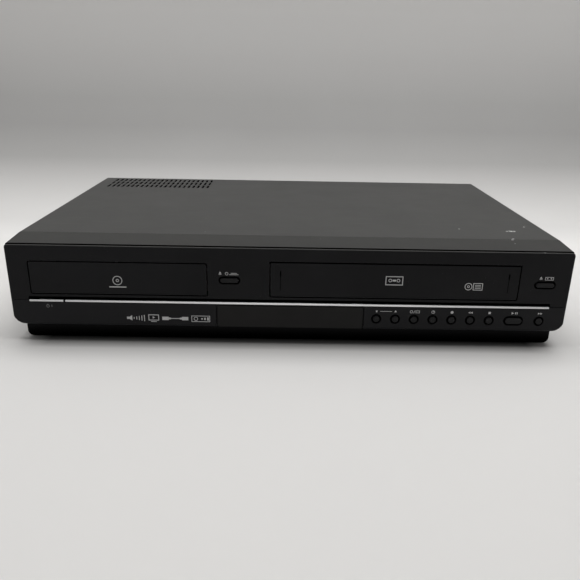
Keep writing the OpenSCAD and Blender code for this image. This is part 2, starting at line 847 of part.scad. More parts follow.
// Torsion spring on a stub behind the panel, with one leg on the door's back
module door_spring() {
    width = (spring_turns - 1) * spring_pitch;
    color("silver") at(spring_x, wall + spring_r + spring_wire + 0.1, hinge_z) {
        for (k = [0 : spring_turns - 1]) translate([k * spring_pitch, 0, 0]) rotate([0, 90, 0]) rotate_extrude()
            translate([spring_r, 0]) circle(spring_wire, $fn = 16);
        // The turns' join, the leg behind the door and the leg on the panel
        translate([-8.5, -spring_r, 0]) rotate([0, 90, 0]) cylinder(h = 8.5 + width, r = spring_wire, $fn = 16);
        translate([-8.5, -spring_r, -8]) cylinder(h = 8 + spring_wire, r = spring_wire, $fn = 16);
        translate([width, -spring_r, 0]) cylinder(h = 6, r = spring_wire, $fn = 16);
    }
}

module tray_front() {
    color(panel_c) along_y(0, door_t) translate([tray_x, slot_z + tray_front_h / 2])
        rounded(tray_front_w, tray_front_h, opening_r - door_gap);
}

// ---- keys ----

// A key whose cap of w by h is drawn by the flat children; the flange keeps it behind the panel
module key(x, z, w, h) {
    color([0.14, 0.14, 0.15]) {
        along_y(-proud, wall + clear + eps) translate([x, z]) children();
        along_y(wall + clear, wall + clear + key_flange_t) translate([x, z])
            rounded(w + 2 * key_flange_out, h + 2 * key_flange_out, 1);
        along_y(wall + clear, key_stem_end) translate([x, z]) circle(1.8);
    }
}

module row_key(i) {
    key(row_x[i], key_z, 2 * key_r, 2 * key_r) circle(key_r);
}

module load_key(x) {
    key(x, load_key_z, load_key_w, load_key_h) pill(load_key_w, load_key_h);
}

module channel_down_key() { row_key(0); }
module channel_up_key() { row_key(1); }
module source_key() { row_key(2); }
module timer_key() { row_key(3); }
module record_key() { row_key(4); }
module rewind_key() { row_key(5); }
module stop_key() { row_key(6); }
module forward_key() { row_key(7); }
module open_close_key() { load_key(open_key_x); }
module eject_key() { load_key(eject_key_x); }

module play_key() {
    key(play_x, key_z, play_w, play_h) pill(play_w, play_h);
}

module power_key() {
    x = strip_x0 + power_w / 2;
    color("silver") {
        along_y(-proud / 2, strip_depth - key_travel - 0.1) translate([x, power_z])
            rounded(power_w, strip_h, strip_end_r);
        along_y(0, wall + clear + eps) translate([x, power_z]) rounded(12, power_stem_h, 0.4);
        along_y(wall + clear, wall + clear + key_flange_t) translate([x, power_z]) rounded(16, 5, 1);
        along_y(wall + clear, key_stem_end) translate([x, power_z]) circle(1.8);
    }
}

// ---- electronics ----

module front_board() {
    low = panel_low + wall + 0.6;
    color("seagreen") difference() {
        union() {
            along_y(front_board_d, front_board_d + board_t) {
                translate([-half + 11, low]) square([body_w - 22, slot_z - 2 - low]);
                translate([open_key_x - 9, slot_z - 3]) square([18, board_ear_top - slot_z + 3]);
                translate([eject_key_x - 9, slot_z - 3]) square([18, board_ear_top - slot_z + 3]);
            }
            // Switches behind the keys
            for (p = switch_places) {
                along_y(switch_d + 1, front_board_d + eps) translate(p) square([6, 6], center = true);
                along_y(switch_d, switch_d + 1 + eps) translate(p) circle(1.7);
            }
        }
        for (x = [-half + 25, window_x - 70, key_x0 - 5.4, half - 15])
            along_y(front_board_d - 1, front_board_d + 3) translate([x, low + 3]) circle(1.5);
    }
    // Ribs of the board's holder that stand on the panel's floor
    color("seagreen") for (x = [-half + 50, window_x - 90, window_x + 90, half - 35]) {
        block(x, x + 3, front_board_d + board_t, front_board_d + board_t + 2, panel_low + wall, slot_z - 4);
    }
}

switch_places = concat([for (x = row_x) [x, key_z]], [[play_x, key_z],
    [open_key_x, load_key_z], [eject_key_x, load_key_z], [strip_x0 + power_w / 2, power_z]]);

module display_tube() {
    tube_w = window_w - 2 * window_rim - 4;
    tube_h = window_h - 2 * window_rim - 0.6;
    color([0.2, 0.3, 0.3]) {
        along_y(wall + 2, wall + 8.5) translate([window_x, window_z]) rounded(tube_w, tube_h, 0.6);
        for (i = [-12 : 12]) along_y(wall + 8.5 - eps, front_board_d)
            translate([window_x + i * 3.6, window_z - 4.3]) square([0.6, 0.6], center = true);
    }
}

module main_board() {
    color("seagreen") difference() {
        union() {
            along_z(board_z, board_z + board_t) polygon([
                [board_x0, 40], [main_x1, 40], [main_x1, rear_strip_d], [pan_half - 9.2, rear_strip_d],
                [pan_half - 9.2, rear_d - rear_t - 1], [power_x1 + 4, rear_d - rear_t - 1],
                [power_x1 + 4, power_d0 - 3], [board_x0, power_d0 - 3]
            ]);
            // Shielded decoder, chips, connectors and capacitors: [x, depth, width, length, height]
            for (c = [[18, 70, 40, 40, 7], [78, 80, 24, 24, 2.4], [118, 84, 16, 16, 2.2], [78, 130, 18, 12, 3],
                [28, power_d0 - 17, 30, 7, 8]])
                board_block(board_x0 + c[0], c[1], c[2], c[3], c[4]);
            for (c = [[36, power_d0 - 21, 24, 8, 8], [36, 46, 20, 6, 6], [30, 96, 8, 40, 8]])
                board_block(main_x1 - c[0], c[1], c[2], c[3], c[4]);
            for (i = [0 : 5])
                post(board_x0 + 84 + i * 8.4, power_d0 - 49 + (i % 2) * 9, 3.2, board_z + 1, board_z + 12);
            for (i = [0 : 3]) post(main_x1 - 10, 96 + i * 14, 4, board_z + 1, board_z + 13);
        }
        for (p = loader_posts) post(p[0], p[1], 5, board_z - 1, board_z + board_t + 1);
    }
}

module board_block(x, d, w, len, h) {
    block(x, x + w, d, d + len, board_z + 1, board_z + 1 + h);
}

module power_board() {
    color("peru") {
        block(board_x0, power_x1, power_d0, rear_d - 7, board_z, board_z + board_t);
        // Mains capacitors, filter coil and fuse: [x, depth, radius, height]
        for (c = [[70.2, 19, 11, 33], [46.2, 45, 6.5, 23], [30.2, 45, 6.5, 23], [14.2, 45, 5, 17]])
            post(power_x1 - c[0], power_d0 + c[1], c[2], board_z + 1, board_z + 1 + c[3]);
        board_block(power_x1 - 108.2, power_d0 + 9, 20, 18, 21);
        board_block(board_x0 + 20, power_d0 + 3, 14, 4.5, 7);
        // Heat sink with its fins
        board_block(power_x1 - 22.2, power_d0 + 3, 4, 32, 35);
        for (i = [0 : 5]) board_block(power_x1 - 18.2 - eps, power_d0 + 4 + i * 5.6, 12, 1.6, 35);
    }
}

module transformer() {
    x = power_x1 - 42.2;
    d = power_d0 + 17;
    z = board_z + board_t;
    color("goldenrod") {
        block(x - 14, x + 14, d - 12, d + 12, z, z + 3);
        for (k = [-1, 1]) block(x - 12, x + 12, d + k * 7.5 - 2.5, d + k * 7.5 + 2.5, z + 3 - eps, z + 26);
        block(x - 12, x + 12, d - 10, d + 10, z + 21, z + 26);
        post(x, d, 8.5, z + 3 - eps, z + 21 + eps);
    }
}

module tuner_box() {
    x0 = aerial_x - 14;
    x1 = aerial_x + aerial_pitch + 14;
    z = jack_row_z + 6;
    d0 = motor_d + 12;
    color("silver") {
        block(x0, x1, d0, rear_d - rear_t, board_z + board_t, z + 14);
        for (k = [0, 1]) at(aerial_x + k * aerial_pitch, rear_d - rear_t - eps, z)
            rotate([-90, 0, 0]) difference() {
                cylinder(h = rear_t + socket_len + eps, r = aerial_r);
                translate([0, 0, 3]) cylinder(h = rear_t + socket_len, r = 0.8);
                translate([0, 0, rear_t + socket_len - 1]) cylinder(h = 2, r = aerial_r - 0.8);
            }
    }
}

hdmi_w = 15;
hdmi_h = 5.6;
hdmi_x = jack_x0 + jack_cols * jack_pitch + 18;
svideo_r = 5.4;

module av_sockets() {
    x0 = jack_x0 - jack_pitch / 2;
    x1 = jack_x0 + (jack_cols - 0.5) * jack_pitch;
    d1 = rear_d - rear_t;
    low = board_z + board_t;
    color([0.15, 0.15, 0.15]) difference() {
        union() {
            block(x0, x1, d1 - 13, d1, low, jack_row_z + jack_row_pitch + 7);
            for (c = [0 : jack_cols - 1], r = [0, 1]) jack_at(c, r)
                cylinder(h = rear_t + 1.5, r = jack_r + 0.9);
            // Upright block of the round video socket over the flat digital one
            block(hdmi_x - 9, hdmi_x + 9, d1 - 13, d1, low, jack_row_z + jack_row_pitch + 7);
            pin_y(hdmi_x, d1 - eps, jack_row_z + jack_row_pitch, svideo_r, rear_t + 1);
        }
        for (c = [0 : jack_cols - 1], r = [0, 1]) jack_at(c, r)
            translate([0, 0, -9]) cylinder(h = 20, r = jack_r);
        // Ring groove and pin holes of the round video socket
        at(hdmi_x, d1 - 6, jack_row_z + jack_row_pitch) rotate([-90, 0, 0]) {
            difference() {
                cylinder(h = 20, r = svideo_r - 0.6);
                cylinder(h = 20, r = svideo_r - 1.6);
            }
            for (a = [45 : 90 : 315]) rotate(a) translate([2.2, 0, 0]) cylinder(h = 20, r = 0.5);
        }
        along_y(d1 - 12, d1 + 1) translate([hdmi_x, jack_row_z]) square([hdmi_w, hdmi_h], center = true);
    }
}

module jack_at(c, r) {
    at(jack_x0 + c * jack_pitch, rear_d - rear_t - eps, jack_row_z + r * jack_row_pitch)
        rotate([-90, 0, 0]) children();
}

module socket_sleeves() {
    d1 = rear_d - rear_t;
    color("gold") {
        for (c = [0 : jack_cols - 1], r = [0, 1]) jack_at(c, r) difference() {
            translate([0, 0, -9 + eps]) cylinder(h = rear_t + 9 + socket_len - 1, r = jack_r);
            // Step at the mouth and the bore for the plug's pin
            translate([0, 0, rear_t + socket_len - 1.8]) cylinder(h = 4, r = jack_r - 0.6);
            translate([0, 0, -6]) cylinder(h = 30, r = 1.7);
        }
        // Shell and tongue of the flat digital socket
        difference() {
            along_y(d1 - 12, d1 + rear_t + 0.6) translate([hdmi_x, jack_row_z])
                square([hdmi_w, hdmi_h], center = true);
            along_y(d1 - 10, d1 + 4) translate([hdmi_x, jack_row_z]) difference() {
                square([hdmi_w - 0.8, hdmi_h - 0.8], center = true);
                square([hdmi_w - 3, 1.4], center = true);
            }
        }
    }
}

inlet_w = 22;
inlet_h = 16;

module mains_inlet() {
    d1 = rear_d;
    color([0.1, 0.1, 0.1]) difference() {
        union() {
            along_y(d1 - rear_t - 18, d1) translate([inlet_x, inlet_z])
                square([inlet_w, inlet_h], center = true);
            along_y(d1, d1 + 1.6) translate([inlet_x, inlet_z]) rounded(inlet_w + 6, inlet_h + 5, 2);
            block(inlet_x - 9, inlet_x + 9, d1 - rear_t - 12, d1 - rear_t - 6, board_z + board_t, inlet_z);
        }
        along_y(d1 - rear_t - 14, d1 + 3) translate([inlet_x, inlet_z]) pill(14.6, 8.4);
    }
    color("silver") for (i = [-1, 1]) pin_y(inlet_x + i * 3.6, d1 - rear_t - 14 - eps, inlet_z, 1.2, 10);
}

// ---- disc loader ----

module loader_frame() {
    x0 = tray_x - loader_half;
    x1 = tray_x + loader_half;
    d1 = loader_d + loader_len;
    rail_in = 3.4;
    color("whitesmoke") difference() {
        union() {
            block(x0, x1, loader_d, d1, loader_low, loader_low + loader_floor_t);
            for (x = [x0, x1 - loader_wall]) block(x, x + loader_wall, loader_d, d1, loader_low, bridge_z);
            block(x0, x1, d1 - 2, d1, loader_low, tray_z + 2);
            // Rails under the tray's edges and stops over them
            for (i = [-1, 1]) {
                xe = tray_x + i * (loader_half - loader_wall);
                xi = xe - i * rail_in;
                block(min(xe, xi) - (i < 0 ? eps : 0), max(xe, xi) + (i > 0 ? eps : 0), loader_d, d1 - 6,
                    tray_z - 3, tray_z - 0.15);
                for (d = [loader_d + 2, loader_d + 70, d1 - 48])
                    block(min(xe, xi) - (i < 0 ? eps : 0), max(xe, xi) + (i > 0 ? eps : 0), d, d + 10,
                        tray_top + 0.3, tray_top + 2.3);
            }
            // Boss under the tray gear
            post(gear_x, gear_d, 4.4, loader_low, gear_z0 - 0.3);
            post(gear_x, gear_d, 2, loader_low, tray_z - 0.15);
            // Ears that carry the traverse's pivots
            for (i = [-1, 1]) {
                x = tray_x + i * (traverse_half + 2.4);
                block(x - 1.4, x + 1.4, traverse_d1 - 5, traverse_d1 + 3, loader_low, traverse_pivot_z + 3);
            }
        }
        // Floor opening under the traverse
        block(tray_x - traverse_half - 0.8, tray_x + traverse_half + 0.8, traverse_d0 - 3, traverse_d1 + 6,
            loader_low - 1, loader_low + loader_floor_t + 0.5);
        pin_x(tray_x - traverse_half - 6, traverse_d1 - 1, traverse_pivot_z, 1.5 + run, 2 * traverse_half + 12);
        for (p = loader_posts) post(p[0], p[1], 1.6, loader_low - 1, loader_low + loader_floor_t + 1);
    }
}

gear_x = tray_x + rack_x - gear_pitch_r - 1.25 * gear_m;
gear_z0 = rack_tip_z + 0.2;
gear_top = tray_z - 0.2;
traverse_pivot_z = traverse_low + traverse_t / 2;

module clamp_bridge() {
    color("silver") difference() {
        union() {
            x0 = tray_x - loader_half;
            x1 = tray_x + loader_half;
            block(x0, x1, disc_d - 26, disc_d + 26, bridge_z, bridge_z + bridge_t);
            for (d = [disc_d - 25, disc_d + 25])
                block(x0, x1, d - 1, d + 1, bridge_z, bridge_z + bridge_t + 2.4);
        }
        at(tray_x, disc_d, bridge_z - 1) cylinder(h = bridge_t + 2, r = bridge_hole_r);
        for (i = [-1, 1], j = [-1, 1]) at(tray_x + i * 44, disc_d + j * 12, bridge_z - 1)
            linear_extrude(bridge_t + 2) pill(18, 8);
    }
}

module disc_clamper() {
    low = disc_seat_z + 1.5;
    color("black") at(tray_x, disc_d, 0) difference() {
        union() {
            translate([0, 0, low]) cylinder(h = 2, r = clamper_r - 1);
            translate([0, 0, low + 1]) cylinder(h = bridge_z + bridge_t + clear - low, r = bridge_hole_r - 0.4);
            translate([0, 0, bridge_z + bridge_t + clear]) cylinder(h = 1.6, r = clamper_r);
        }
        translate([0, 0, low - 1]) cylinder(h = 4, r = 7.9);
        for (a = [0 : 60 : 300]) rotate(a) translate([9.4, 0, bridge_z + bridge_t + 1])
            cylinder(h = 4, r = 1.4);
    }
}

module rack_teeth() {
    pitch = PI * gear_m;
    n = floor((tray_back - gear_d - 6) / pitch);
    for (k = [-1 : n]) translate([tray_x + rack_x, gear_d + k * pitch]) polygon([
        [eps, -0.42 * pitch], [eps, 0.42 * pitch],
        [-2.2 * gear_m, 0.14 * pitch], [-2.2 * gear_m, -0.14 * pitch]
    ]);
}

module disc_tray() {
    color([0.16, 0.16, 0.17]) difference() {
        union() {
            along_z(tray_z, tray_top) translate([tray_x, (tray_front_gap + tray_back) / 2])
                square([tray_w, tray_back - tray_front_gap], center = true);
            // Upstand that carries the tray front
            block(tray_x - 58, tray_x + 58, tray_front_gap, tray_front_gap + 2,
                slot_z + 2, slot_z + tray_front_h - 2.6);
            // Rack under the right edge
            block(tray_x + rack_x, tray_x + rack_x + 2, gear_d - 6, tray_back, rack_tip_z, tray_z + 1);
            along_z(rack_tip_z, tray_z - 0.2) rack_teeth();
        }
        post(tray_x, disc_d, disc_r, tray_top - well_deep, tray_top + 1);
        post(tray_x, disc_d, small_disc_r, tray_top - well_deep - small_well_deep, tray_top + 1);
        post(tray_x, disc_d, tray_slot_half, tray_z - 1, tray_top + 1);
        block(tray_x - tray_slot_half, tray_x + tray_slot_half,
            disc_d, tray_back + 1, tray_z - 1, tray_top + 1);
        // Finger notches at the front corners of the well
        for (i = [-1, 1]) post(tray_x + i * 46, disc_d - 46, 9, tray_top - well_deep, tray_top + 1);
    }
}

module spur_gear(n, m, face) {
    r = m * n / 2;
    linear_extrude(face) {
        circle(r - 1.2 * m);
        for (k = [0 : n - 1]) rotate(k * 360 / n) polygon([
            [r - 1.5 * m, -0.85 * m], [r - 1.5 * m, 0.85 * m],
            [r + 0.85 * m, 0.36 * m], [r + 0.85 * m, -0.36 * m]
        ]);
    }
}

module tray_gear() {
    color("white") at(gear_x, gear_d, gear_z0) difference() {
        union() {
            rotate(180 / gear_n) spur_gear(gear_n, gear_m, gear_top - gear_z0);
            translate([0, 0, -0.1]) cylinder(h = gear_top - gear_z0, r = 4);
        }
        translate([0, 0, -1]) cylinder(h = gear_top - gear_z0 + 4, r = 2 + run);
    }
}

module tray_motor() {
    x = gear_x - 30;
    z = loader_low + loader_floor_t;
    color("silver") {
        at(x, gear_d, z) cylinder(h = 4.5, r = 9.5);
        at(x, gear_d, z) cylinder(h = 7, r = 2.4);
    }
}

module traverse_chassis() {
    z1 = traverse_low + traverse_t;
    color([0.25, 0.25, 0.27]) difference() {
        union() {
            block(tray_x - traverse_half, tray_x + traverse_half, traverse_d0, traverse_d1, traverse_low, z1);
            // Rod and screw supports
            for (d = [pickup_d - 3, traverse_d1 - 8]) for (x = [-rod_x, rod_x])
                block(tray_x + x - 2.6, tray_x + x + 2.6, d, d + 3, z1 - eps, rod_z + 1);
            // Spindle motor
            post(tray_x, disc_d, 11, z1 - eps, z1 + 2);
            // Pivot pins at the back
            for (i = [-1, 1])
                pin_x(tray_x + i * (traverse_half + 1.7) - 2.2, traverse_d1 - 1, traverse_pivot_z, 1.5, 4.4);
        }
        block(tray_x - 13, tray_x + 13, pickup_d + 1, traverse_d1 - 12, traverse_low - 1, z1 + 0.5);
        for (d = [pickup_d - 3, traverse_d1 - 8]) for (x = [-rod_x, rod_x])
            pin_y(tray_x + x, d - 1, rod_z, rod_r, 5);
        at(tray_x, disc_d, z1) cylinder(h = 10, r = 1.5 + run);
        pin_y(tray_x, pickup_d - 3, lead_z, lead_r + run, traverse_d1 - pickup_d - 4);
    }
}

module turntable() {
    z1 = traverse_low + traverse_t;
    color([0.3, 0.3, 0.32]) at(tray_x, disc_d, 0) {
        translate([0, 0, z1 + 0.2]) cylinder(h = 4, r = 1.5);
        translate([0, 0, z1 + 2.3]) cylinder(h = disc_seat_z - 1.4 - z1 - 2.3, r = 8);
        translate([0, 0, disc_seat_z - 1.4]) cylinder(h = 1.4, r = 14);
        translate([0, 0, disc_seat_z - eps]) rotate_extrude()
            polygon([[0, 0], [7.4, 0], [7.4, 0.9], [5, 2.4], [0, 2.4]]);
    }
}

module pickup() {
    z0 = rod_z - 3;
    color([0.2, 0.2, 0.22]) difference() {
        union() {
            block(tray_x - rod_x - 3.4, tray_x + rod_x + 3.4, pickup_d0, pickup_d0 + pickup_len, z0, rod_z + 3);
            post(tray_x, pickup_d + 10, 6, rod_z + 3 - eps, rod_z + 4.6);
            post(tray_x, pickup_d + 10, 2.6, rod_z + 4, rod_z + 5.6);
        }
        for (x = [-rod_x, rod_x]) pin_y(tray_x + x, pickup_d - 1, rod_z, rod_r + run, pickup_len + 4);
        block(tray_x - 12, tray_x + 12, pickup_d0 + 18, pickup_d0 + pickup_len + 1, z0 - 1, rod_z + 1);
    }
}

module guide_rods() {
    color("silver") for (x = [-rod_x, rod_x])
        pin_y(tray_x + x, pickup_d - 3.5, rod_z, rod_r, traverse_d1 - pickup_d - 1);
}

module lead_screw() {
    len = traverse_d1 - pickup_d - 6;
    color("silver") at(tray_x, pickup_d - 2, lead_z) rotate([-90, 0, 0]) {
        cylinder(h = len, r = lead_r);
        for (k = [0 : floor((len - 16) / 4)]) translate([0, 0, 5 + k * 4]) cylinder(h = 1.4, r = lead_r + 0.4);
    }
}

// ---- tape deck ----

function deck_xy(p, side) = [deck_x + side * p[0], p[1]];

module guide_slot_2d(side, w) {
    a = deck_xy(guide_start, side);
    b = deck_xy(guide_end, side);
    len = norm(b - a);
    translate((a + b) / 2) rotate(atan2(b[1] - a[1], b[0] - a[0])) pill(len + w, w);
}

module deck_plate() {
    color("lightgray") difference() {
        union() {
            along_z(deck_z, deck_top) translate([deck_x, deck_d + deck_len / 2]) rounded(deck_w, deck_len, 4);
            // Bearing of the capstan, posts of the reels and the arm pivots
            post(deck_x + capstan_x, capstan_d, 4, deck_z, deck_top + 9);
            for (i = [-1, 1]) post(deck_x + i * reel_span / 2, reel_d, 2, deck_z, deck_top + 11);
            for (i = [-1, 1]) post(deck_x + i * reel_span / 2, reel_d, 4, deck_z, deck_top + 0.4);
            post(deck_x + pinch_pivot_x, pinch_pivot_d, 2, deck_z, deck_top + 12);
            post(deck_x + tension_x, tension_d, 2, deck_z, deck_top + 5);
            // Fixed tape poles
            post(deck_x + pole_x, pole_d, 2, deck_z, post_top);
            post(deck_x - 54, drum_d - 25, 2, deck_z, post_top);
        }
        for (side = [-1, 1]) along_z(deck_z - 1, deck_top + 1) guide_slot_2d(side, guide_slot_w);
        post(deck_x + capstan_x, capstan_d, capstan_r + run, deck_z - 1, deck_top + 10);
    }
}

module drum_frame() {
    at(deck_x, drum_d, drum_base_z) rotate([0, -drum_tilt, 0]) children();
}

module lower_drum() {
    color("gainsboro") difference() {
        union() {
            post(deck_x, drum_d, drum_r + 2, deck_top, deck_top + 2);
            drum_frame() cylinder(h = drum_h, r = drum_r - 0.05);
            drum_frame() translate([0, 0, -3]) cylinder(h = 4, r = drum_r - 6);
            // Motor hub under the drum
            post(deck_x, drum_d, 12, deck_top - eps, deck_top + 3);
        }
        drum_frame() translate([0, 0, 3]) cylinder(h = drum_h, r = 3 + run);
        block(deck_x - half, deck_x + half, drum_d - 60, drum_d + 60, 0, deck_top);
    }
}

module upper_drum() {
    color("silver") drum_frame() difference() {
        union() {
            translate([0, 0, drum_h + drum_gap]) cylinder(h = drum_h, r = drum_r);
            translate([0, 0, 3.4]) cylinder(h = drum_h, r = 3);
            translate([0, 0, 2 * drum_h]) cylinder(h = 2.4, r = 7);
        }
        // Windows where the head chips sit, and the recess on top
        for (i = [0, 180]) rotate(i) translate([drum_r - 1, 0, drum_h + drum_gap - 1]) cylinder(h = 3, r = 2.2);
        difference() {
            translate([0, 0, 2 * drum_h - 1]) cylinder(h = 5, r = drum_r - 3);
            cylinder(h = 60, r = 14);
        }
    }
}

module capstan() {
    color("silver") {
        post(deck_x + capstan_x, capstan_d, capstan_r, pan_top + 0.6, post_top);
        post(deck_x + capstan_x, capstan_d, 24, pan_top + 1, deck_z - 0.8);
        post(deck_x + capstan_x, capstan_d, 6, pan_top + 0.8, deck_z - 0.4);
    }
}

pinch_z = deck_top + 9;

module pinch_arm_2d() {
    translate([deck_x + pinch_pivot_x, pinch_pivot_d]) rotate(pinch_rest_a) {
        circle(4.6);
        translate([0, -2.4]) square([pinch_reach, 4.8]);
        translate([pinch_reach, 0]) circle(3);
    }
}

function pinch_place() = [deck_x + pinch_pivot_x + pinch_reach * cos(pinch_rest_a),
    pinch_pivot_d + pinch_reach * sin(pinch_rest_a)];

module pinch_arm() {
    p = pinch_place();
    color("silver") difference() {
        union() {
            along_z(pinch_z - 2, pinch_z - 0.6) pinch_arm_2d();
            post(deck_x + pinch_pivot_x, pinch_pivot_d, 4, deck_top + 0.2, pinch_z + 2.5);
            post(p[0], p[1], 1.5, pinch_z - 2, pinch_z + 14.5);
        }
        post(deck_x + pinch_pivot_x, pinch_pivot_d, 2 + run, deck_top - 1, pinch_z + 6);
    }
}

module pinch_roller() {
    p = pinch_place();
    color("black") difference() {
        post(p[0], p[1], pinch_r, pinch_z, pinch_z + 13);
        post(p[0], p[1], 1.5 + run, pinch_z - 1, pinch_z + 15);
    }
}

module reel(side) {
    z = deck_top + 0.5;
    at(deck_x + side * reel_span / 2, reel_d, z) difference() {
        union() {
            cylinder(h = 3, r = reel_r);
            cylinder(h = 5, r = reel_r - 6);
            cylinder(h = post_top - 10 - z, r = spool_r);
            for (a = [0 : 120 : 240]) rotate(a) translate([spool_r - 0.6, -0.8, 4])
                cube([2.2, 1.6, post_top - 17 - z]);
        }
        translate([0, 0, -1]) cylinder(h = 12, r = 2 + run);
        for (a = [0 : 60 : 300]) rotate(a) translate([15, 0, -1]) cylinder(h = 6, r = 1.5);
    }
}

module supply_reel() { color("white") reel(-1); }
module takeup_reel() { color("white") reel(1); }

module tape_guide(side) {
    a = deck_xy(guide_start, side);
    b = deck_xy(guide_end, side);
    dir = atan2(b[1] - a[1], b[0] - a[0]);
    z = deck_top + 0.1;
    translate([a[0], front_y + a[1], 0]) {
        rotate(dir) translate([-6, -4.4, z]) cube([13, 8.8, 5]);
        translate([0, 0, deck_z + 0.2]) cylinder(h = deck_t + 1, r = guide_slot_w / 2 - clear);
        translate([0, 0, z + 4]) cylinder(h = post_top - z - 4, r = 1.2);
        translate([0, 0, z + 6]) cylinder(h = 1, r = 3);
        translate([0, 0, z + 7 - eps]) cylinder(h = 11, r = 2.5);
        translate([0, 0, z + 18 - 2 * eps]) cylinder(h = 1, r = 3);
        rotate(dir) translate([4.6, side * 1.4, z + 4.9]) cylinder(h = 14, r = 1);
    }
}

module supply_guide() { color("silver") tape_guide(-1); }
module takeup_guide() { color("silver") tape_guide(1); }

module tension_arm() {
    z = deck_top + 0.2;
    color("silver") at(deck_x + tension_x, tension_d, 0) difference() {
        union() {
            translate([0, 0, z]) cylinder(h = 4, r = 4);
            rotate(tension_a) translate([0, -2, z]) cube([tension_reach, 4, 1.4]);
            rotate(tension_a) translate([tension_reach, 0, z]) cylinder(h = post_top - z, r = 1.5);
            rotate(tension_a) translate([tension_reach, 0, z]) cylinder(h = 1.4, r = 3);
            rotate(tension_a + 150) translate([0, -1.6, z]) cube([12, 3.2, 1.4]);
        }
        translate([0, 0, z - 1]) cylinder(h = 7, r = 2 + run);
    }
}

module tape_heads() {
    x = deck_x + capstan_x + 4;
    d = capstan_d + 29;
    color("silver") {
        // Full erase head
        block(deck_x - 64, deck_x - 56, drum_d - 17, drum_d - 11, deck_top, deck_top + 8);
        block(deck_x - 62.5, deck_x - 57.5, drum_d - 18, drum_d - 12, deck_top + 8 - eps, deck_top + 22);
        // Audio and control head on its adjustable base
        block(x, x + 18, d, d + 14, deck_top, deck_top + 3);
        post(x + 9, d + 10, 2.5, deck_top + 3 - eps, deck_top + 8);
        block(x + 2, x + 16, d, d + 13, deck_top + 8 - eps, deck_top + 9.4);
        block(x + 4, x + 14, d, d + 8, deck_top + 9.4 - eps, deck_top + 24);
    }
}

module loading_motor() {
    x = deck_x + deck_w / 2 - 58;
    z = deck_top + 12.5;
    color("silver") {
        pin_x(x, motor_d, z, 10, 28);
        pin_x(x - 20, motor_d, z, 1.2, 20 + eps);
        pin_x(x - 19, motor_d, z, 3, 12);
        block(x - 2, x + 30, motor_d - 8, motor_d + 8, deck_top, deck_top + 5);
    }
}

// Both side brackets of the cassette carriage
module side_brackets() {
    slot_d0 = slider_d0 + 6 - slider_pin_r - clear;
    slot_d1 = slider_d1 - 6 + load_in + slider_pin_r + clear;
    slot_h = 2 * (slider_pin_r + clear);
    color("lightgray") for (i = [-1, 1]) {
        x = deck_x + i * (bracket_half - sheet_t / 2);
        foot = deck_x + i * (bracket_half + 2);
        difference() {
            block(x - sheet_t / 2, x + sheet_t / 2, deck_d + 1, bracket_d1, deck_top, bracket_top);
            along_x(x - 2, x + 2) translate([(slot_d0 + slot_d1) / 2, slider_pin_z])
                pill(slot_d1 - slot_d0, slot_h);
            along_x(x - 2, x + 2) translate([bracket_d1 - 30, deck_top + 20]) rounded(40, 22, 4);
            along_x(x - 2, x + 2) translate([deck_d + 34, deck_top + 20]) rounded(50, 22, 4);
        }
        for (d = [deck_d + 6, bracket_d1 - 20])
            block(min(x, foot), max(x, foot) + (i > 0 ? 3 : 0), d, d + 12, deck_top, deck_top + sheet_t);
    }
}

module carriage_slider() {
    color("silver") {
        for (i = [-1, 1]) {
            x = deck_x + i * (slider_half - sheet_t / 2);
            difference() {
                block(x - sheet_t / 2, x + sheet_t / 2, slider_d0, slider_d1,
                    holder_pin_z - load_down - 5, slider_top);
                for (d = holder_pin_d) along_x(x - 2, x + 2)
                    translate([d, holder_pin_z - load_down / 2]) rotate(90)
                        pill(load_down + 2 * (holder_pin_r + clear), 2 * (holder_pin_r + clear));
            }
            for (d = [slider_d0 + 6, slider_d1 - 6])
                at(deck_x + i * (slider_half - sheet_t / 2), d, slider_pin_z)
                    rotate([0, i * 90, 0]) cylinder(h = sheet_t * 1.5 + 0.4 + 1.2, r = slider_pin_r);
        }
        // Bar over the holder that ties the two sides together
        block(deck_x - slider_half, deck_x + slider_half, slider_d0 + 12, slider_d1 - 12,
            slider_top - sheet_t, slider_top);
        for (d = [slider_d0 + 12, slider_d1 - 13])
            block(deck_x - slider_half + 8, deck_x + slider_half - 8, d, d + 1,
                slider_top - eps, slider_top + 2.4);
    }
}

holder_pin_d = [slider_d0 + 12, slider_d1 - 12];

module cassette_holder() {
    d1 = holder_d + holder_len;
    color("gainsboro") difference() {
        union() {
            block(deck_x - holder_half, deck_x + holder_half, holder_d, d1, holder_top - sheet_t, holder_top);
            for (i = [-1, 1]) {
                x = deck_x + i * (holder_half - sheet_t / 2);
                block(x - sheet_t / 2, x + sheet_t / 2, holder_d, d1, cassette_z - sheet_t, holder_top);
                xl = deck_x + i * (holder_half - 5);
                block(xl - 5, xl + 5, holder_d, d1, cassette_z - sheet_t, cassette_z);
                for (d = holder_pin_d) at(x, d, holder_pin_z) rotate([0, i * 90, 0])
                    cylinder(h = sheet_t * 1.5 + 0.4, r = holder_pin_r);
                // Stops behind the cassette
                block(deck_x + i * 70 - 6, deck_x + i * 70 + 6, d1 - 2.2, d1 - 1.2,
                    holder_top - 9, holder_top - eps);
            }
        }
        // Lightening holes and the finger springs' slots in the top plate
        for (i = [-1, 1]) along_z(holder_top - 3, holder_top + 1)
            translate([deck_x + i * 46, holder_d + holder_len / 2]) rounded(46, 24, 4);
        along_z(holder_top - 3, holder_top + 1) translate([deck_x, holder_d + 10]) rounded(30, 10, 3);
    }
}

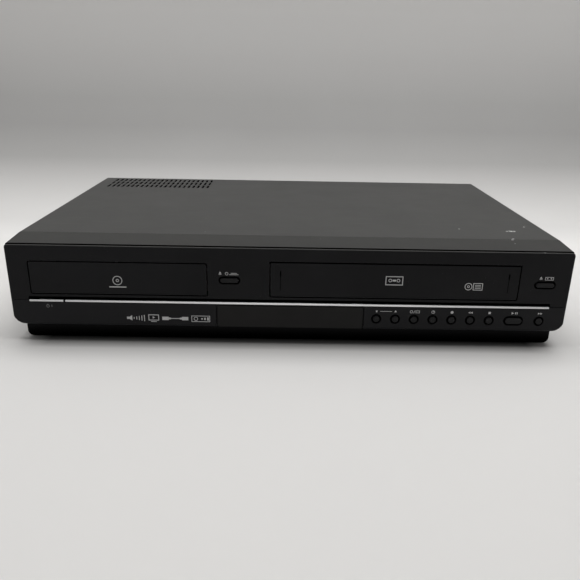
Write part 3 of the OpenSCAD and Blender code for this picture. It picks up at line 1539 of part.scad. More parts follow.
top_cover();
chassis_pan();
rear_panel();
feet();
case_screws();
upper_front_panel();
lower_front_panel();
trim_strip();
display_window();
cassette_door();
door_spring();
tray_front();
power_key();
open_close_key();
eject_key();
channel_down_key();
channel_up_key();
source_key();
timer_key();
record_key();
rewind_key();
stop_key();
play_key();
forward_key();
main_board();
power_board();
transformer();
front_board();
display_tube();
tuner_box();
av_sockets();
socket_sleeves();
mains_inlet();
loader_frame();
clamp_bridge();
disc_clamper();
disc_tray();
tray_gear();
tray_motor();
traverse_chassis();
turntable();
pickup();
guide_rods();
lead_screw();
deck_plate();
lower_drum();
upper_drum();
capstan();
pinch_arm();
pinch_roller();
supply_reel();
takeup_reel();
supply_guide();
takeup_guide();
tension_arm();
tape_heads();
loading_motor();
side_brackets();
carriage_slider();
cassette_holder();
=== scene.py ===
import json
import math
import random

import bmesh
import bpy
from mathutils import Matrix, Vector


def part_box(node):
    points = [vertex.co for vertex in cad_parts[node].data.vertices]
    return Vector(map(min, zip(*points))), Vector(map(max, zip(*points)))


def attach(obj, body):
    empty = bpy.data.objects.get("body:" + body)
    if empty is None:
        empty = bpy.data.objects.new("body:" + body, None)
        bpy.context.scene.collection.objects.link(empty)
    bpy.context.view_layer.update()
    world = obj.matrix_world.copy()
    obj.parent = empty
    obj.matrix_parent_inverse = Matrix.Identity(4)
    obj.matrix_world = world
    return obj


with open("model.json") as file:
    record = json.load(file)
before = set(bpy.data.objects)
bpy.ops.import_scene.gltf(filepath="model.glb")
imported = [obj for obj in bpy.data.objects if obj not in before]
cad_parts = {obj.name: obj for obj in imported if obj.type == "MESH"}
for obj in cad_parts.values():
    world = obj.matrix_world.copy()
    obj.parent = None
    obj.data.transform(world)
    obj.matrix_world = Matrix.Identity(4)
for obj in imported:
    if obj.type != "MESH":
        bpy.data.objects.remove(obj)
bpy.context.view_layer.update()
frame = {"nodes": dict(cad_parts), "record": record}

MM = 0.001
NODES = frame["nodes"]

# Places that paint and prints follow, in metres
FRONT_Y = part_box("upper_front_panel")[0].y
SIDE_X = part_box("upper_front_panel")[1].x
SEAM_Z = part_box("upper_front_panel")[0].z
COVER_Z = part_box("top_cover")[1].z
REAR_INNER_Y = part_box("rear_panel")[0].y
REAR_OUTER_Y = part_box("rear_panel")[1].y
# The lower panel's edge above the skirt, and the shelf's edge at the front
PANEL_LOW_Z = 14 * MM
SHELF_EDGE_Z = 78 * MM

PAINTED_SHADE_BLACK = (0.0005, 0.0005, 0.0005)


def add(name, data):
    obj = bpy.data.objects.new(name, data)
    bpy.context.scene.collection.objects.link(obj)
    return obj


# ---- camera ----

def add_camera():
    """Close in front of the player, looking down on it and tilted a little."""
    place = (-0.0045, -0.57885, 0.2055)
    yaw, pitch, roll = (math.radians(angle) for angle in (0.57, 20.17, 1.08))
    forward = Vector((math.sin(yaw) * math.cos(pitch), math.cos(yaw) * math.cos(pitch), -math.sin(pitch)))
    level = Vector((math.cos(yaw), -math.sin(yaw), 0))
    upright = level.cross(forward)
    right = level * math.cos(roll) + upright * math.sin(roll)
    up = upright * math.cos(roll) - level * math.sin(roll)
    data = bpy.data.cameras.new("camera")
    data.sensor_width = 36
    data.lens = 37.6
    data.clip_start = 0.01
    data.clip_end = 50
    cam = add("camera", data)
    turn = Matrix((right, up, -forward)).transposed()
    cam.matrix_world = Matrix.Translation(place) @ turn.to_4x4()
    bpy.context.scene.camera = cam


# ---- materials ----

class Nodes:
    """A node tree, with short ways to add the nodes used here."""

    def __init__(self, tree):
        self.nodes = tree.nodes
        self.links = tree.links

    def link(self, output, socket):
        self.links.new(output, socket)

    def add(self, kind, values):
        """A new node. values gives its inputs a number or another node's output."""
        node = self.nodes.new(kind)
        for key, value in values.items():
            if isinstance(value, bpy.types.NodeSocket):
                self.link(value, node.inputs[key])
            else:
                node.inputs[key].default_value = value
        return node

    def math(self, operation, *sources):
        node = self.add("ShaderNodeMath", dict(enumerate(sources)))
        node.operation = operation
        return node.outputs[0]

    def every(self, mask, *others):
        """1 where each of the masks is 1."""
        for other in others:
            mask = self.math("MULTIPLY", mask, other)
        return mask

    def either(self, a, b):
        """1 where one of two masks is 1."""
        return self.math("MAXIMUM", a, b)

    def span(self, value, low, high, to_low, to_high):
        """to_low up to low, to_high from high on, and a straight run between them."""
        return self.add("ShaderNodeMapRange", {
            "Value": value, "From Min": low, "From Max": high, "To Min": to_low, "To Max": to_high,
        }).outputs["Result"]

    def rise(self, value, low, high):
        return self.span(value, low, high, 0, 1)

    def fall(self, value, low, high):
        return self.span(value, low, high, 1, 0)

    def within(self, value, low, high, soft):
        """1 where value lies between low and high, 0 elsewhere."""
        return self.every(self.rise(value, low - soft, low), self.fall(value, high, high + soft))

    def mix(self, amount, a, b):
        """a where amount is 0, b where it is 1. Each is a colour or another node's output."""
        node = self.nodes.new("ShaderNodeMix")
        node.data_type = "RGBA"
        self.link(amount, node.inputs["Factor"])
        for key, colour in (("A", a), ("B", b)):
            socket = next(s for s in node.inputs if s.name == key and s.type == "RGBA")
            if isinstance(colour, tuple):
                socket.default_value = (*colour, 1)
            else:
                self.link(colour, socket)
        return next(s for s in node.outputs if s.type == "RGBA")

    def ramp(self, value, stops):
        """A run of warm greys, each at its place between 0 and 1."""
        node = self.add("ShaderNodeValToRGB", {0: value})
        row = node.color_ramp.elements
        for k, (place, grey) in enumerate(stops):
            stop = row[k] if k < 2 else row.new(place)
            stop.position = place
            stop.color = (grey, grey * 0.985, grey * 0.965, 1)
        return node.outputs[0]


class Tree(Nodes):
    """A material's nodes. Its patterns lie in metres on the object's own coordinates."""

    def __init__(self, name):
        self.mat = bpy.data.materials.new(name)
        self.mat.use_nodes = True
        super().__init__(self.mat.node_tree)
        self.bsdf = self.nodes["Principled BSDF"]
        self.where = self.nodes.new("ShaderNodeTexCoord").outputs["Object"]

    def axes(self):
        node = self.add("ShaderNodeSeparateXYZ", {0: self.where})
        return (node.outputs[axis] for axis in "XYZ")

    def squeezed(self, scale):
        """Coordinates in which a pattern repeats faster along an axis by that axis's scale."""
        return self.add("ShaderNodeMapping", {"Vector": self.where, "Scale": scale}).outputs["Vector"]

    def noise(self, scale, detail, vector=None):
        return self.add("ShaderNodeTexNoise", {
            "Vector": vector or self.where, "Scale": scale, "Detail": detail, "Roughness": 0.55,
        }).outputs["Fac"]

    def cells(self, scale):
        return self.add("ShaderNodeTexVoronoi", {"Vector": self.where, "Scale": scale}).outputs["Distance"]

    def dusty(self, base, strength, colour, patches, specks=(0.05, 0.11), fine=520, coarse=60):
        """base under specks of dust that gather in patches."""
        speck = self.span(self.cells(fine), *specks, strength, 0)
        patch = self.rise(self.noise(coarse, 2), *patches)
        return self.mix(self.every(speck, patch), base, colour)

    def colour(self, source):
        self.link(source, self.bsdf.inputs["Base Color"])

    def roughness(self, source):
        self.link(source, self.bsdf.inputs["Roughness"])

    def metallic(self, source):
        self.link(source, self.bsdf.inputs["Metallic"])

    def relief(self, layers, edge=0.0):
        """layers: (height, depth in metres). edge rounds the shading of sharp edges by that radius."""
        normal = None
        if edge:
            bevel = self.add("ShaderNodeBevel", {"Radius": edge})
            bevel.samples = 4
            normal = bevel.outputs["Normal"]
        for height, depth in layers:
            bump = self.add("ShaderNodeBump", {"Strength": 1.0, "Distance": depth, "Height": height})
            if normal:
                self.link(normal, bump.inputs["Normal"])
            normal = bump.outputs["Normal"]
        self.link(normal, self.bsdf.inputs["Normal"])

    def plain(self, metallic, specular, coat=0.0, coat_rough=0.1):
        """What is the same all over the surface."""
        self.bsdf.inputs["Metallic"].default_value = metallic
        self.bsdf.inputs["Specular IOR Level"].default_value = specular
        self.bsdf.inputs["Coat Weight"].default_value = coat
        self.bsdf.inputs["Coat Roughness"].default_value = coat_rough


def shade(colour, factor):
    return tuple(min(1.0, c * factor) for c in colour)


def moulded(name, colour, rough, grain, depth, edge, specular=0.5, dust=0.0):
    """Moulded plastic or rubber: fine grain, faint cloudy gloss, light dust."""
    t = Tree(name)
    cloud = t.noise(22, 4)
    base = t.mix(t.rise(cloud, 0.35, 0.65), shade(colour, 0.88), shade(colour, 1.14))
    if dust:
        base = t.dusty(base, dust, (0.55, 0.55, 0.53), (0.5, 0.68))
    t.colour(base)
    t.roughness(t.span(cloud, 0.3, 0.7, rough - 0.05, rough + 0.07))
    t.relief([(t.noise(grain, 2), depth), (t.noise(150, 3), depth * 2)], edge)
    t.plain(0.0, specular)
    return t.mat


def panel_plastic(name, colour):
    """Moulded front: fine satin grain and light dust, with painted light and shade: a shelf painted paler,
    a lower panel painted lighter, a painted highlight on the lower edge, and painted shade in the grooves
    and on the skirt.
    """
    t = Tree(name)
    x, y, z = t.axes()
    side = t.math("ABSOLUTE", x)
    cloud = t.noise(22, 4)

    # Painted shade in grooves, gaps and key holes: what lies just behind the face, a little in from the
    # panels' own edges
    behind_face = t.within(y, FRONT_Y + 0.00012, FRONT_Y + 0.00185, 0.00006)
    inside_edges = t.every(t.within(z, PANEL_LOW_Z + 0.0023, SHELF_EDGE_Z - 0.0017, 0.0001),
                           t.fall(side, SIDE_X - 0.0034, SIDE_X - 0.0030))
    # Painted shade in the groove behind the upper panel's rim, along its top and both sides
    behind_rim = t.within(y, FRONT_Y + 0.00155, FRONT_Y + 0.0042, 0.0001)
    border = t.either(t.rise(z, SHELF_EDGE_Z - 0.0018, SHELF_EDGE_Z - 0.0017),
                      t.rise(side, SIDE_X - 0.0050, SIDE_X - 0.0049))
    rim_groove = t.every(behind_rim, border, t.rise(z, SEAM_Z - 0.0001, SEAM_Z + 0.0002))
    groove_shade = t.either(t.every(behind_face, inside_edges), rim_groove)
    shelf = t.rise(z, SHELF_EDGE_Z - 0.0004, SHELF_EDGE_Z)
    skirt = t.fall(z, PANEL_LOW_Z - 0.0004, PANEL_LOW_Z - 0.0001)

    base = t.mix(t.rise(cloud, 0.35, 0.65), shade(colour, 0.86), shade(colour, 1.16))
    # Painted light: the lower panel is painted lighter than the upper one
    lower_panel_painted_light = t.fall(z, SEAM_Z - 0.0001, SEAM_Z + 0.0001)
    base = t.mix(lower_panel_painted_light, base, shade(colour, 1.35))
    # Painted highlight: the rounded lower edge is painted paler, as if it caught the light
    edge_painted_highlight = t.fall(z, PANEL_LOW_Z + 0.0003, PANEL_LOW_Z + 0.0011)
    base = t.mix(edge_painted_highlight, base, shade(colour, 2.6))
    # Painted light: the shelf on top is painted paler, for the light and sheen its upward face catches
    shelf_painted_light = t.mix(t.rise(cloud, 0.35, 0.65), (0.0282, 0.0282, 0.0270), (0.0328, 0.0328, 0.0316))
    base = t.mix(shelf, base, shelf_painted_light)
    base = t.dusty(base, 0.3, (0.30, 0.30, 0.29), (0.52, 0.7))
    # Painted shade: the skirt darkens towards the floor
    skirt_painted_shade = t.mix(t.rise(z, 0.003, 0.0125), (0.0003, 0.0003, 0.0003), (0.010, 0.010, 0.0104))
    base = t.mix(skirt, base, skirt_painted_shade)
    t.colour(t.mix(groove_shade, base, PAINTED_SHADE_BLACK))
    t.roughness(t.either(t.span(cloud, 0.3, 0.7, 0.33, 0.43), groove_shade))
    t.relief([(t.noise(2200, 2), 0.00001), (t.noise(150, 3), 0.00002)], 0.0004)
    t.plain(0.0, 0.10)
    # Painted shade: grooves and skirt are made black metal, which reflects next to nothing, so they stay
    # dark
    t.metallic(t.either(skirt, groove_shade))
    return t.mat


def painted_cover(name):
    """Baked textured paint on folded sheet steel, with faint rubs and settled dust."""
    t = Tree(name)
    x, y, z = t.axes()
    cloud = t.noise(9, 5)
    rub = t.noise(40, 3, t.squeezed((1, 9, 4)))
    base = t.mix(t.rise(cloud, 0.35, 0.65), (0.0160, 0.0163, 0.0150), (0.0197, 0.0201, 0.0186))
    base = t.mix(t.span(rub, 0.58, 0.76, 0, 0.5), base, (0.05, 0.05, 0.048))
    base = t.dusty(base, 0.5, (0.5, 0.49, 0.46), (0.56, 0.7), specks=(0.04, 0.09), fine=300, coarse=25)
    # Painted shade: the walls of the vent slots, just under the cover's upper side, are painted black
    vents_x, vents_y = (-0.212, -0.07), (0.05, 0.1335)
    slot_wall_shade = t.every(t.within(x, *vents_x, 0.001), t.within(y, *vents_y, 0.001),
                         t.fall(z, COVER_Z - 0.00015, COVER_Z - 0.00002))
    t.colour(t.mix(slot_wall_shade, base, PAINTED_SHADE_BLACK))
    t.roughness(t.span(cloud, 0.3, 0.7, 0.40, 0.50))
    t.relief([(t.noise(1500, 2), 0.000018), (t.noise(420, 2), 0.00001)], 0.0005)
    t.plain(0.0, 0.465)
    t.metallic(slot_wall_shade)
    return t.mat


def sheet_metal(name, colour, rough, stretch=(1, 14, 1), metallic=1.0, lined=False):
    """Rolled or turned metal: grain drawn out one way, with a cloudy plating."""
    t = Tree(name)
    grain = t.noise(260, 4, t.squeezed(stretch))
    cloud = t.noise(35, 3)
    base = t.mix(t.rise(cloud, 0.3, 0.7), shade(colour, 0.9), shade(colour, 1.08))
    if lined:
        # Painted shade: black on the rear panel's inner side, over its upper half, where little light gets
        # in
        x, y, z = t.axes()
        inner_shade_low_z = 0.045
        inner_side = t.within(y, REAR_INNER_Y - 0.0008, REAR_INNER_Y + 0.0009, 0.0001)
        inner_shade = t.every(inner_side, t.rise(z, inner_shade_low_z, inner_shade_low_z + 0.001))
        base = t.mix(inner_shade, base, (0.004, 0.004, 0.004))
    t.colour(base)
    t.roughness(t.span(grain, 0.3, 0.7, rough - 0.07, rough + 0.1))
    t.relief([(grain, 0.000006)], 0.0003)
    t.plain(metallic, 0.5)
    return t.mat


def satin_trim(name):
    """Silver paint on a plastic strip."""
    t = Tree(name)
    x, y, z = t.axes()
    cloud = t.noise(16, 3)
    base = t.mix(t.rise(t.cells(2600), 0.1, 0.6), (0.97, 0.98, 0.99), (0.88, 0.89, 0.90))
    base = t.mix(t.span(cloud, 0.35, 0.7, 0, 0.3), base, (0.70, 0.71, 0.72))
    # Painted shade: darker towards both ends, standing in for dimmer reflections there
    for from_x, to_x, from_shade, to_shade in ((-0.18, 0.0, 0.4, 0), (0.02, 0.2, 0, 0.4)):
        base = t.mix(t.span(x, from_x, to_x, from_shade, to_shade), base, (0.20, 0.205, 0.21))
    # Painted shade: a dark end next to the power key, where the gap between them lies in shadow
    strip_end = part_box("trim_strip")[0].x
    parting_shade = t.within(x, strip_end - 0.0010, strip_end + 0.0004, 0.0002)
    t.colour(t.mix(parting_shade, base, (0.001, 0.001, 0.001)))
    t.roughness(t.span(cloud, 0.3, 0.7, 0.30, 0.38))
    t.relief([(t.noise(1400, 2), 0.000006)], 0.0004)
    t.plain(0.9, 0.5)
    return t.mat


def smoked_window(name):
    """Smoked acrylic: gloss with fine hairlines."""
    t = Tree(name)
    hair = t.noise(120, 4, t.squeezed((0.4, 1, 12)))
    cloud = t.noise(30, 3)
    t.colour(t.mix(t.rise(cloud, 0.3, 0.7), (0.0104, 0.0101, 0.0098), (0.0131, 0.0128, 0.0124)))
    t.roughness(t.span(hair, 0.4, 0.75, 0.16, 0.27))
    t.relief([(hair, 0.000004)], 0.0003)
    t.plain(0.0, 0.1, 0.05, 0.08)
    return t.mat


def circuit_board(name, colour, line):
    """Board under solder resist, with tracks and holes."""
    t = Tree(name)
    bricks = t.add("ShaderNodeTexBrick", {
        "Vector": t.where, "Scale": 1, "Mortar Size": 0.0004, "Mortar Smooth": 0.3,
        "Brick Width": 0.011, "Row Height": 0.0032,
    })
    bricks.offset = 0.37
    tracks = bricks.outputs["Fac"]
    base = t.mix(t.noise(60, 3), shade(colour, 0.85), shade(colour, 1.15))
    base = t.mix(t.span(tracks, 0, 1, 0, 0.7), base, line)
    holes = t.fall(t.cells(260), 0.08, 0.12)
    t.colour(t.mix(holes, base, (0.55, 0.54, 0.5)))
    t.roughness(t.span(t.noise(90, 2), 0.3, 0.7, 0.3, 0.42))
    t.relief([(tracks, 0.00003)])
    t.plain(0.0, 0.5)
    return t.mat


def winding(name):
    """Tape over copper turns on a ferrite core."""
    t = Tree(name)
    waves = t.add("ShaderNodeTexWave", {"Vector": t.where, "Scale": 420, "Distortion": 0.6})
    waves.bands_direction = "Z"
    turns = waves.outputs["Fac"]
    t.colour(t.mix(turns, (0.42, 0.25, 0.03), (0.62, 0.42, 0.08)))
    t.roughness(t.span(turns, 0, 1, 0.25, 0.42))
    t.relief([(turns, 0.00006)], 0.0003)
    t.plain(0.0, 0.5)
    return t.mat


def tube_glass(name):
    """Display tube: dark glass with the segments' faint grid behind it."""
    t = Tree(name)
    grid = t.add("ShaderNodeTexChecker", {"Vector": t.where, "Scale": 900}).outputs["Fac"]
    t.colour(t.mix(grid, (0.035, 0.06, 0.055), (0.05, 0.08, 0.075)))
    t.roughness(t.span(t.noise(80, 2), 0.3, 0.7, 0.05, 0.1))
    t.relief([(t.noise(200, 2), 0.000004)], 0.0003)
    t.plain(0.0, 0.5, 0.5, 0.03)
    return t.mat


def ink(name, colour, specular=0.4):
    """Printed marks, slightly broken at a fine scale."""
    t = Tree(name)
    t.colour(t.mix(t.span(t.noise(2400, 2), 0.35, 0.7, 0, 0.5), colour, shade(colour, 0.7)))
    t.roughness(t.span(t.noise(900, 2), 0.3, 0.7, 0.45, 0.6))
    t.plain(0.0, specular)
    return t.mat


MATS = {}


def keep(name, make, *values, **more):
    """Make a material and keep it under its name, which for a CAD node's is the slot's."""
    MATS[name] = make(name, *values, **more)


keep("cover_paint", painted_cover)
keep("panel_plastic", panel_plastic, (0.0104, 0.0104, 0.0113))
keep("bright_trim", satin_trim)
keep("smoked_window", smoked_window)
keep("tube_glass", tube_glass)
keep("transformer_core", winding)
keep("board_green", circuit_board, (0.018, 0.10, 0.035), (0.05, 0.20, 0.07))
keep("board_tan", circuit_board, (0.36, 0.22, 0.10), (0.50, 0.33, 0.16))

keep("zinc_steel", sheet_metal, (0.36, 0.36, 0.35), 0.46, lined=True)
keep("screw_steel", sheet_metal, (0.035, 0.035, 0.037), 0.34, stretch=(6, 6, 6), metallic=0.6)
keep("spring_steel", sheet_metal, (0.62, 0.62, 0.62), 0.2, stretch=(1, 1, 8))
keep("tin_steel", sheet_metal, (0.66, 0.66, 0.65), 0.28, stretch=(10, 1, 1))
keep("socket_gold", sheet_metal, (0.83, 0.60, 0.27), 0.2, stretch=(1, 1, 1))
keep("drum_metal", sheet_metal, (0.78, 0.78, 0.78), 0.16, stretch=(1, 1, 22))

keep("key_plastic", moulded, (0.0094, 0.0094, 0.0101),
     rough=0.30, grain=2400, depth=0.000008, edge=0.0005, specular=0.16)
keep("foot_rubber", moulded, (0.02, 0.02, 0.02),
     rough=0.75, grain=900, depth=0.00003, edge=0.0005, specular=0.3)
keep("roller_rubber", moulded, (0.013, 0.013, 0.013),
     rough=0.62, grain=1600, depth=0.00002, edge=0.0003, specular=0.35)
keep("socket_plastic", moulded, (0.014, 0.014, 0.014),
     rough=0.48, grain=1500, depth=0.000015, edge=0.0004, specular=0.45)
keep("tray_plastic", moulded, (0.018, 0.018, 0.019),
     rough=0.5, grain=1700, depth=0.00002, edge=0.0005, specular=0.45, dust=0.2)
keep("clamper_plastic", moulded, (0.016, 0.016, 0.017), rough=0.45, grain=1400, depth=0.000015, edge=0.0004)
keep("loader_plastic", moulded, (0.55, 0.55, 0.53), rough=0.5, grain=1300, depth=0.00002, edge=0.0005)
keep("gear_plastic", moulded, (0.68, 0.68, 0.65), rough=0.45, grain=1100, depth=0.00001, edge=0.0003)

keep("ink_white", ink, (0.62, 0.62, 0.62))
keep("ink_grey", ink, (0.20, 0.20, 0.20))
# Painted shade: the black drawn round the key holes
keep("ink_black", ink, (0.0008, 0.0008, 0.0008), specular=0.0)

for row in frame["record"]["subparts"]:
    for s in NODES[row["node"]].material_slots:
        s.material = MATS[row["material_slot"]]


# ---- what every modelled piece goes through ----

def extrude_out(bm, by):
    """Draw flat faces out into thin plates."""
    made = bmesh.ops.extrude_face_region(bm, geom=bm.faces[:])
    moved = [g for g in made["geom"] if isinstance(g, bmesh.types.BMVert)]
    bmesh.ops.translate(bm, vec=by, verts=moved)
    bmesh.ops.recalc_face_normals(bm, faces=bm.faces[:])


def add_mesh(name, bm, material):
    mesh = bpy.data.meshes.new(name)
    bm.normal_update()
    bm.to_mesh(mesh)
    bm.free()
    mesh.materials.append(material)
    return add(name, mesh)


def add_piece(name, bm, material, body):
    obj = add_mesh(name, bm, MATS[material])
    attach(obj, body)
    return obj


# ---- printed pictograms ----

LEFT, RIGHT, UP, DOWN = 180, 0, 90, -90


class Print:
    """Flat marks on the front face. Places and sizes in millimetres, from the middle of a node."""

    THICK = 0.00004

    def __init__(self, name, body="cabinet", material="ink_white"):
        self.name, self.body, self.material = name, body, material
        self.bm = bmesh.new()
        self.x, self.z = 0.0, 0.0

    def at(self, node, dx=0.0, dz=0.0):
        """The marks that follow are placed from here."""
        low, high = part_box(node)
        self.x = (low.x + high.x) / 2 / MM + dx
        self.z = (low.z + high.z) / 2 / MM + dz

    def shape(self, corners, x, z, sx, sz, turn=0.0, spin=0.0):
        """A filled polygon on a circle of radius 1, spun, stretched to sx and sz, and turned."""
        made = bmesh.ops.create_circle(self.bm, cap_ends=True, segments=corners, radius=1,
                                       matrix=Matrix.Rotation(math.radians(spin), 4, "Z"))
        place = (Matrix.Translation(((self.x + x) * MM, FRONT_Y, (self.z + z) * MM))
                 @ Matrix.Rotation(math.radians(turn), 4, "Y") @ Matrix.Diagonal((sx * MM, 1, sz * MM, 1))
                 @ Matrix.Rotation(math.radians(90), 4, "X"))
        bmesh.ops.transform(self.bm, matrix=place, verts=made["verts"])
        return made["verts"]

    def bar(self, x, z, w, h, turn=0.0):
        diagonal = math.sqrt(2)
        self.shape(4, x, z, w / diagonal, h / diagonal, turn, 45)

    def triangle(self, x, z, r, towards):
        self.shape(3, x, z, r, r, 90 - towards)

    def dot(self, x, z, r):
        self.shape(24, x, z, r, r)

    def ring(self, x, z, r, width, corners=32, pull=0.0):
        """pull draws the two halves apart, which makes a ring with straight sides."""
        verts = self.shape(corners, x, z, r, r, 0, 180 / corners)
        for v in verts:
            v.co.x += math.copysign(pull * MM, v.co.x - (self.x + x) * MM)
        faces = list({f for v in verts for f in v.link_faces})
        bmesh.ops.inset_region(self.bm, faces=faces, thickness=width * MM, use_even_offset=True,
                               use_boundary=True)
        bmesh.ops.delete(self.bm, geom=faces, context="FACES")

    def outline(self, x, z, w, h, width):
        for k in (-1, 1):
            self.bar(x, z + k * (h - width) / 2, w, width)
            self.bar(x + k * (w - width) / 2, z, width, h - 2 * width)

    def done(self):
        extrude_out(self.bm, (0, -self.THICK, 0))
        add_piece(self.name, self.bm, self.material, self.body)


ROW_KEYS = ["channel_down_key", "channel_up_key", "source_key", "timer_key", "record_key", "rewind_key",
            "stop_key", "play_key", "forward_key"]
LOAD_KEYS = ["open_close_key", "eject_key"]


def key_marks():
    p = Print("key_pictograms")
    above_row, above_load = 6.4, 5.4
    key_pitch = 14.65

    p.at("channel_down_key", 0, above_row)
    p.triangle(0, 0, 1.1, DOWN)
    p.bar(key_pitch / 2, 0, 9.2, 0.35)
    p.at("channel_up_key", 0, above_row)
    p.triangle(0, 0, 1.1, UP)

    # Disc or tape
    p.at("source_key", 0, above_row)
    p.ring(-2.3, 0, 1.2, 0.35)
    p.bar(0, 0, 0.35, 2.6, 25)
    p.outline(2.6, 0, 3.2, 2.0, 0.35)

    # Clock
    p.at("timer_key", 0, above_row)
    p.ring(0, 0, 1.3, 0.32)
    p.bar(0, 0.4, 0.3, 0.9)
    p.bar(0.3, 0, 0.7, 0.3)

    p.at("record_key", 0, above_row)
    p.dot(0, 0, 1.15)
    for key, towards in (("rewind_key", LEFT), ("forward_key", RIGHT)):
        p.at(key, 0, above_row)
        for x in (-0.9, 0.9):
            p.triangle(x, 0, 1.05, towards)
    p.at("stop_key", 0, above_row)
    p.bar(0, 0, 1.8, 1.8)
    p.at("play_key", 0, above_row)
    p.triangle(-1.5, 0, 1.15, RIGHT)
    for x in (1.0, 2.2):
        p.bar(x, 0, 0.6, 1.8)

    # Open and close, then a disc and its tray; eject, then a cassette
    for key, x in (("open_close_key", -7.0), ("eject_key", -3.85)):
        p.at(key, x, above_load)
        p.triangle(0, 0.6, 1.1, UP)
        p.bar(0, -0.6, 2.0, 0.4)
    p.at("open_close_key", 0, above_load)
    p.ring(-2.0, 0, 1.25, 0.35)
    p.bar(3.4, -0.7, 7.0, 0.4)
    p.bar(3.4, 0.4, 4.6, 0.4)
    p.at("eject_key", 2.55, above_load)
    p.outline(0, 0, 6.4, 2.6, 0.35)
    for x in (-1.4, 1.4):
        p.dot(x, 0, 0.5)
    p.done()


def key_hole_shade():
    """Painted shade: black rings round the key holes, where their recesses lie in shadow."""
    p = Print("key_hole_shade", material="ink_black")
    for keys, outside, width in ((ROW_KEYS, 0.1, 0.3), (LOAD_KEYS, 0.05, 0.25)):
        for key in keys:
            low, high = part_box(key)
            half_w, half_h = (high.x - low.x) / 2 / MM, (high.z - low.z) / 2 / MM
            p.at(key)
            p.ring(0, 0, half_h + outside, width, 48, half_w - half_h)
    p.done()


def power_mark():
    p = Print("power_pictogram", material="ink_grey")
    p.at("power_key", 0.45, -4.45)
    p.ring(0, 0, 1.25, 0.35)
    p.bar(0, 1.0, 0.4, 1.3)
    p.bar(3.0, 0.1, 0.4, 2.0)
    p.done()


def disc_mark():
    p = Print("disc_pictogram", "tray")
    p.at("tray_front", -0.8, -1.5)
    p.ring(0, 0, 3.7, 0.55)
    p.ring(0, 0, 1.2, 0.5)
    p.bar(0, -5.2, 13.0, 0.8)
    p.done()


def cassette_mark():
    p = Print("cassette_pictogram", "cassette_door")
    p.at("cassette_door", -0.45, 0.65)
    p.outline(0, -0.2, 13.4, 7.2, 0.6)
    for x in (-3.1, 3.1):
        p.ring(x, 0, 1.35, 0.45)
    p.bar(0, 0, 2.6, 1.4)
    p.done()


def drum_mark():
    p = Print("drum_pictogram", "cassette_door")
    p.at("cassette_door", 56.6, -3.35)
    p.ring(0, 0, 2.9, 0.5)
    p.ring(0, 0, 1.0, 0.4)
    p.outline(7.2, 0, 7.4, 5.8, 0.5)
    for z in (-1.2, 0.0, 1.2):
        p.bar(7.2, z, 4.6, 0.45)
    p.done()


def feature_marks():
    """A quiet row of generic marks left of the window: sound, screen, plug and disc."""
    p = Print("feature_pictograms")
    p.at("display_window", -123.9, -2.6)
    p.bar(-2.1, 0, 1.5, 1.9)
    p.triangle(0, 0, 2.5, LEFT)
    for k in range(5):
        p.bar(2.7 + 2.0 * k, 0, 0.6, 1.6 + 0.9 * k)

    p.at("display_window", -106.0, -2.0)
    p.outline(0, 0, 8.2, 5.0, 0.6)
    p.triangle(-0.2, 0, 1.2, RIGHT)
    p.bar(0, -3.4, 4.4, 0.5)

    p.at("display_window", -89.3, -2.6)
    for side in (-1, 1):
        p.bar(7.6 * side, 0, 5.0, 2.8)
        p.bar(4.3 * side, 0, 1.6, 1.5)
    p.bar(0, 0, 7.0, 0.6)

    p.at("display_window", -69.5, -2.6)
    p.outline(0, 0, 14.4, 5.2, 0.45)
    p.ring(-3.8, 0, 1.6, 0.4)
    for k in range(3):
        p.bar(1.0 + 2.3 * k, 0, 1.2, 1.2 + 0.7 * k)
    p.done()


# ---- back ----

def socket_rings():
    """Coloured rings that tell the sockets apart, one piece for each colour."""
    colours = {
        "yellow": (0.70, 0.48, 0.02), "white": (0.70, 0.70, 0.68), "red": (0.52, 0.02, 0.02),
        "green": (0.03, 0.28, 0.05), "blue": (0.02, 0.06, 0.42), "orange": (0.65, 0.20, 0.02),
    }
    rows = [
        ["yellow", "white", "red", "green", "blue", "red"],
        ["yellow", "white", "red", "orange", "white", "red"],
    ]
    first_x, pitch, low_z, row_pitch = -40, 14, 30, 16
    # Radius and height above the rear panel
    profile = [(4.45, 0.0), (5.35, 0.0), (5.6, 0.25), (5.6, 1.35), (5.3, 1.6), (4.7, 1.6), (4.45, 1.35)]
    for name, colour in colours.items():
        bm = bmesh.new()
        places = [(across, up) for up, row in enumerate(rows) for across in range(len(row))
                  if row[across] == name]
        for across, up in places:
            centre = Vector(((first_x + pitch * across) * MM, REAR_OUTER_Y, (low_z + row_pitch * up) * MM))
            verts = [bm.verts.new(centre + Vector((radius, height, 0)) * MM) for radius, height in profile]
            edges = [bm.edges.new(pair) for pair in zip(verts, verts[1:] + verts[:1])]
            bmesh.ops.spin(bm, geom=verts + edges, cent=centre, axis=(0, 1, 0), angle=math.tau, steps=40,
                           use_merge=True)
        bmesh.ops.remove_doubles(bm, verts=bm.verts[:], dist=1e-6)
        bmesh.ops.recalc_face_normals(bm, faces=bm.faces[:])
        keep("ring_" + name, moulded, colour, rough=0.38, grain=1500, depth=0.00001, edge=0.0003)
        obj = add_piece("socket_rings_" + name, bm, "ring_" + name, "cabinet")
        obj.data.shade_smooth()


# ---- wear on the top ----

# Slopes of the cover, the shelf and the front's upper edge
COVER, SHELF, EDGE = 0.0, math.atan(1.5 / 27.8), 0.42
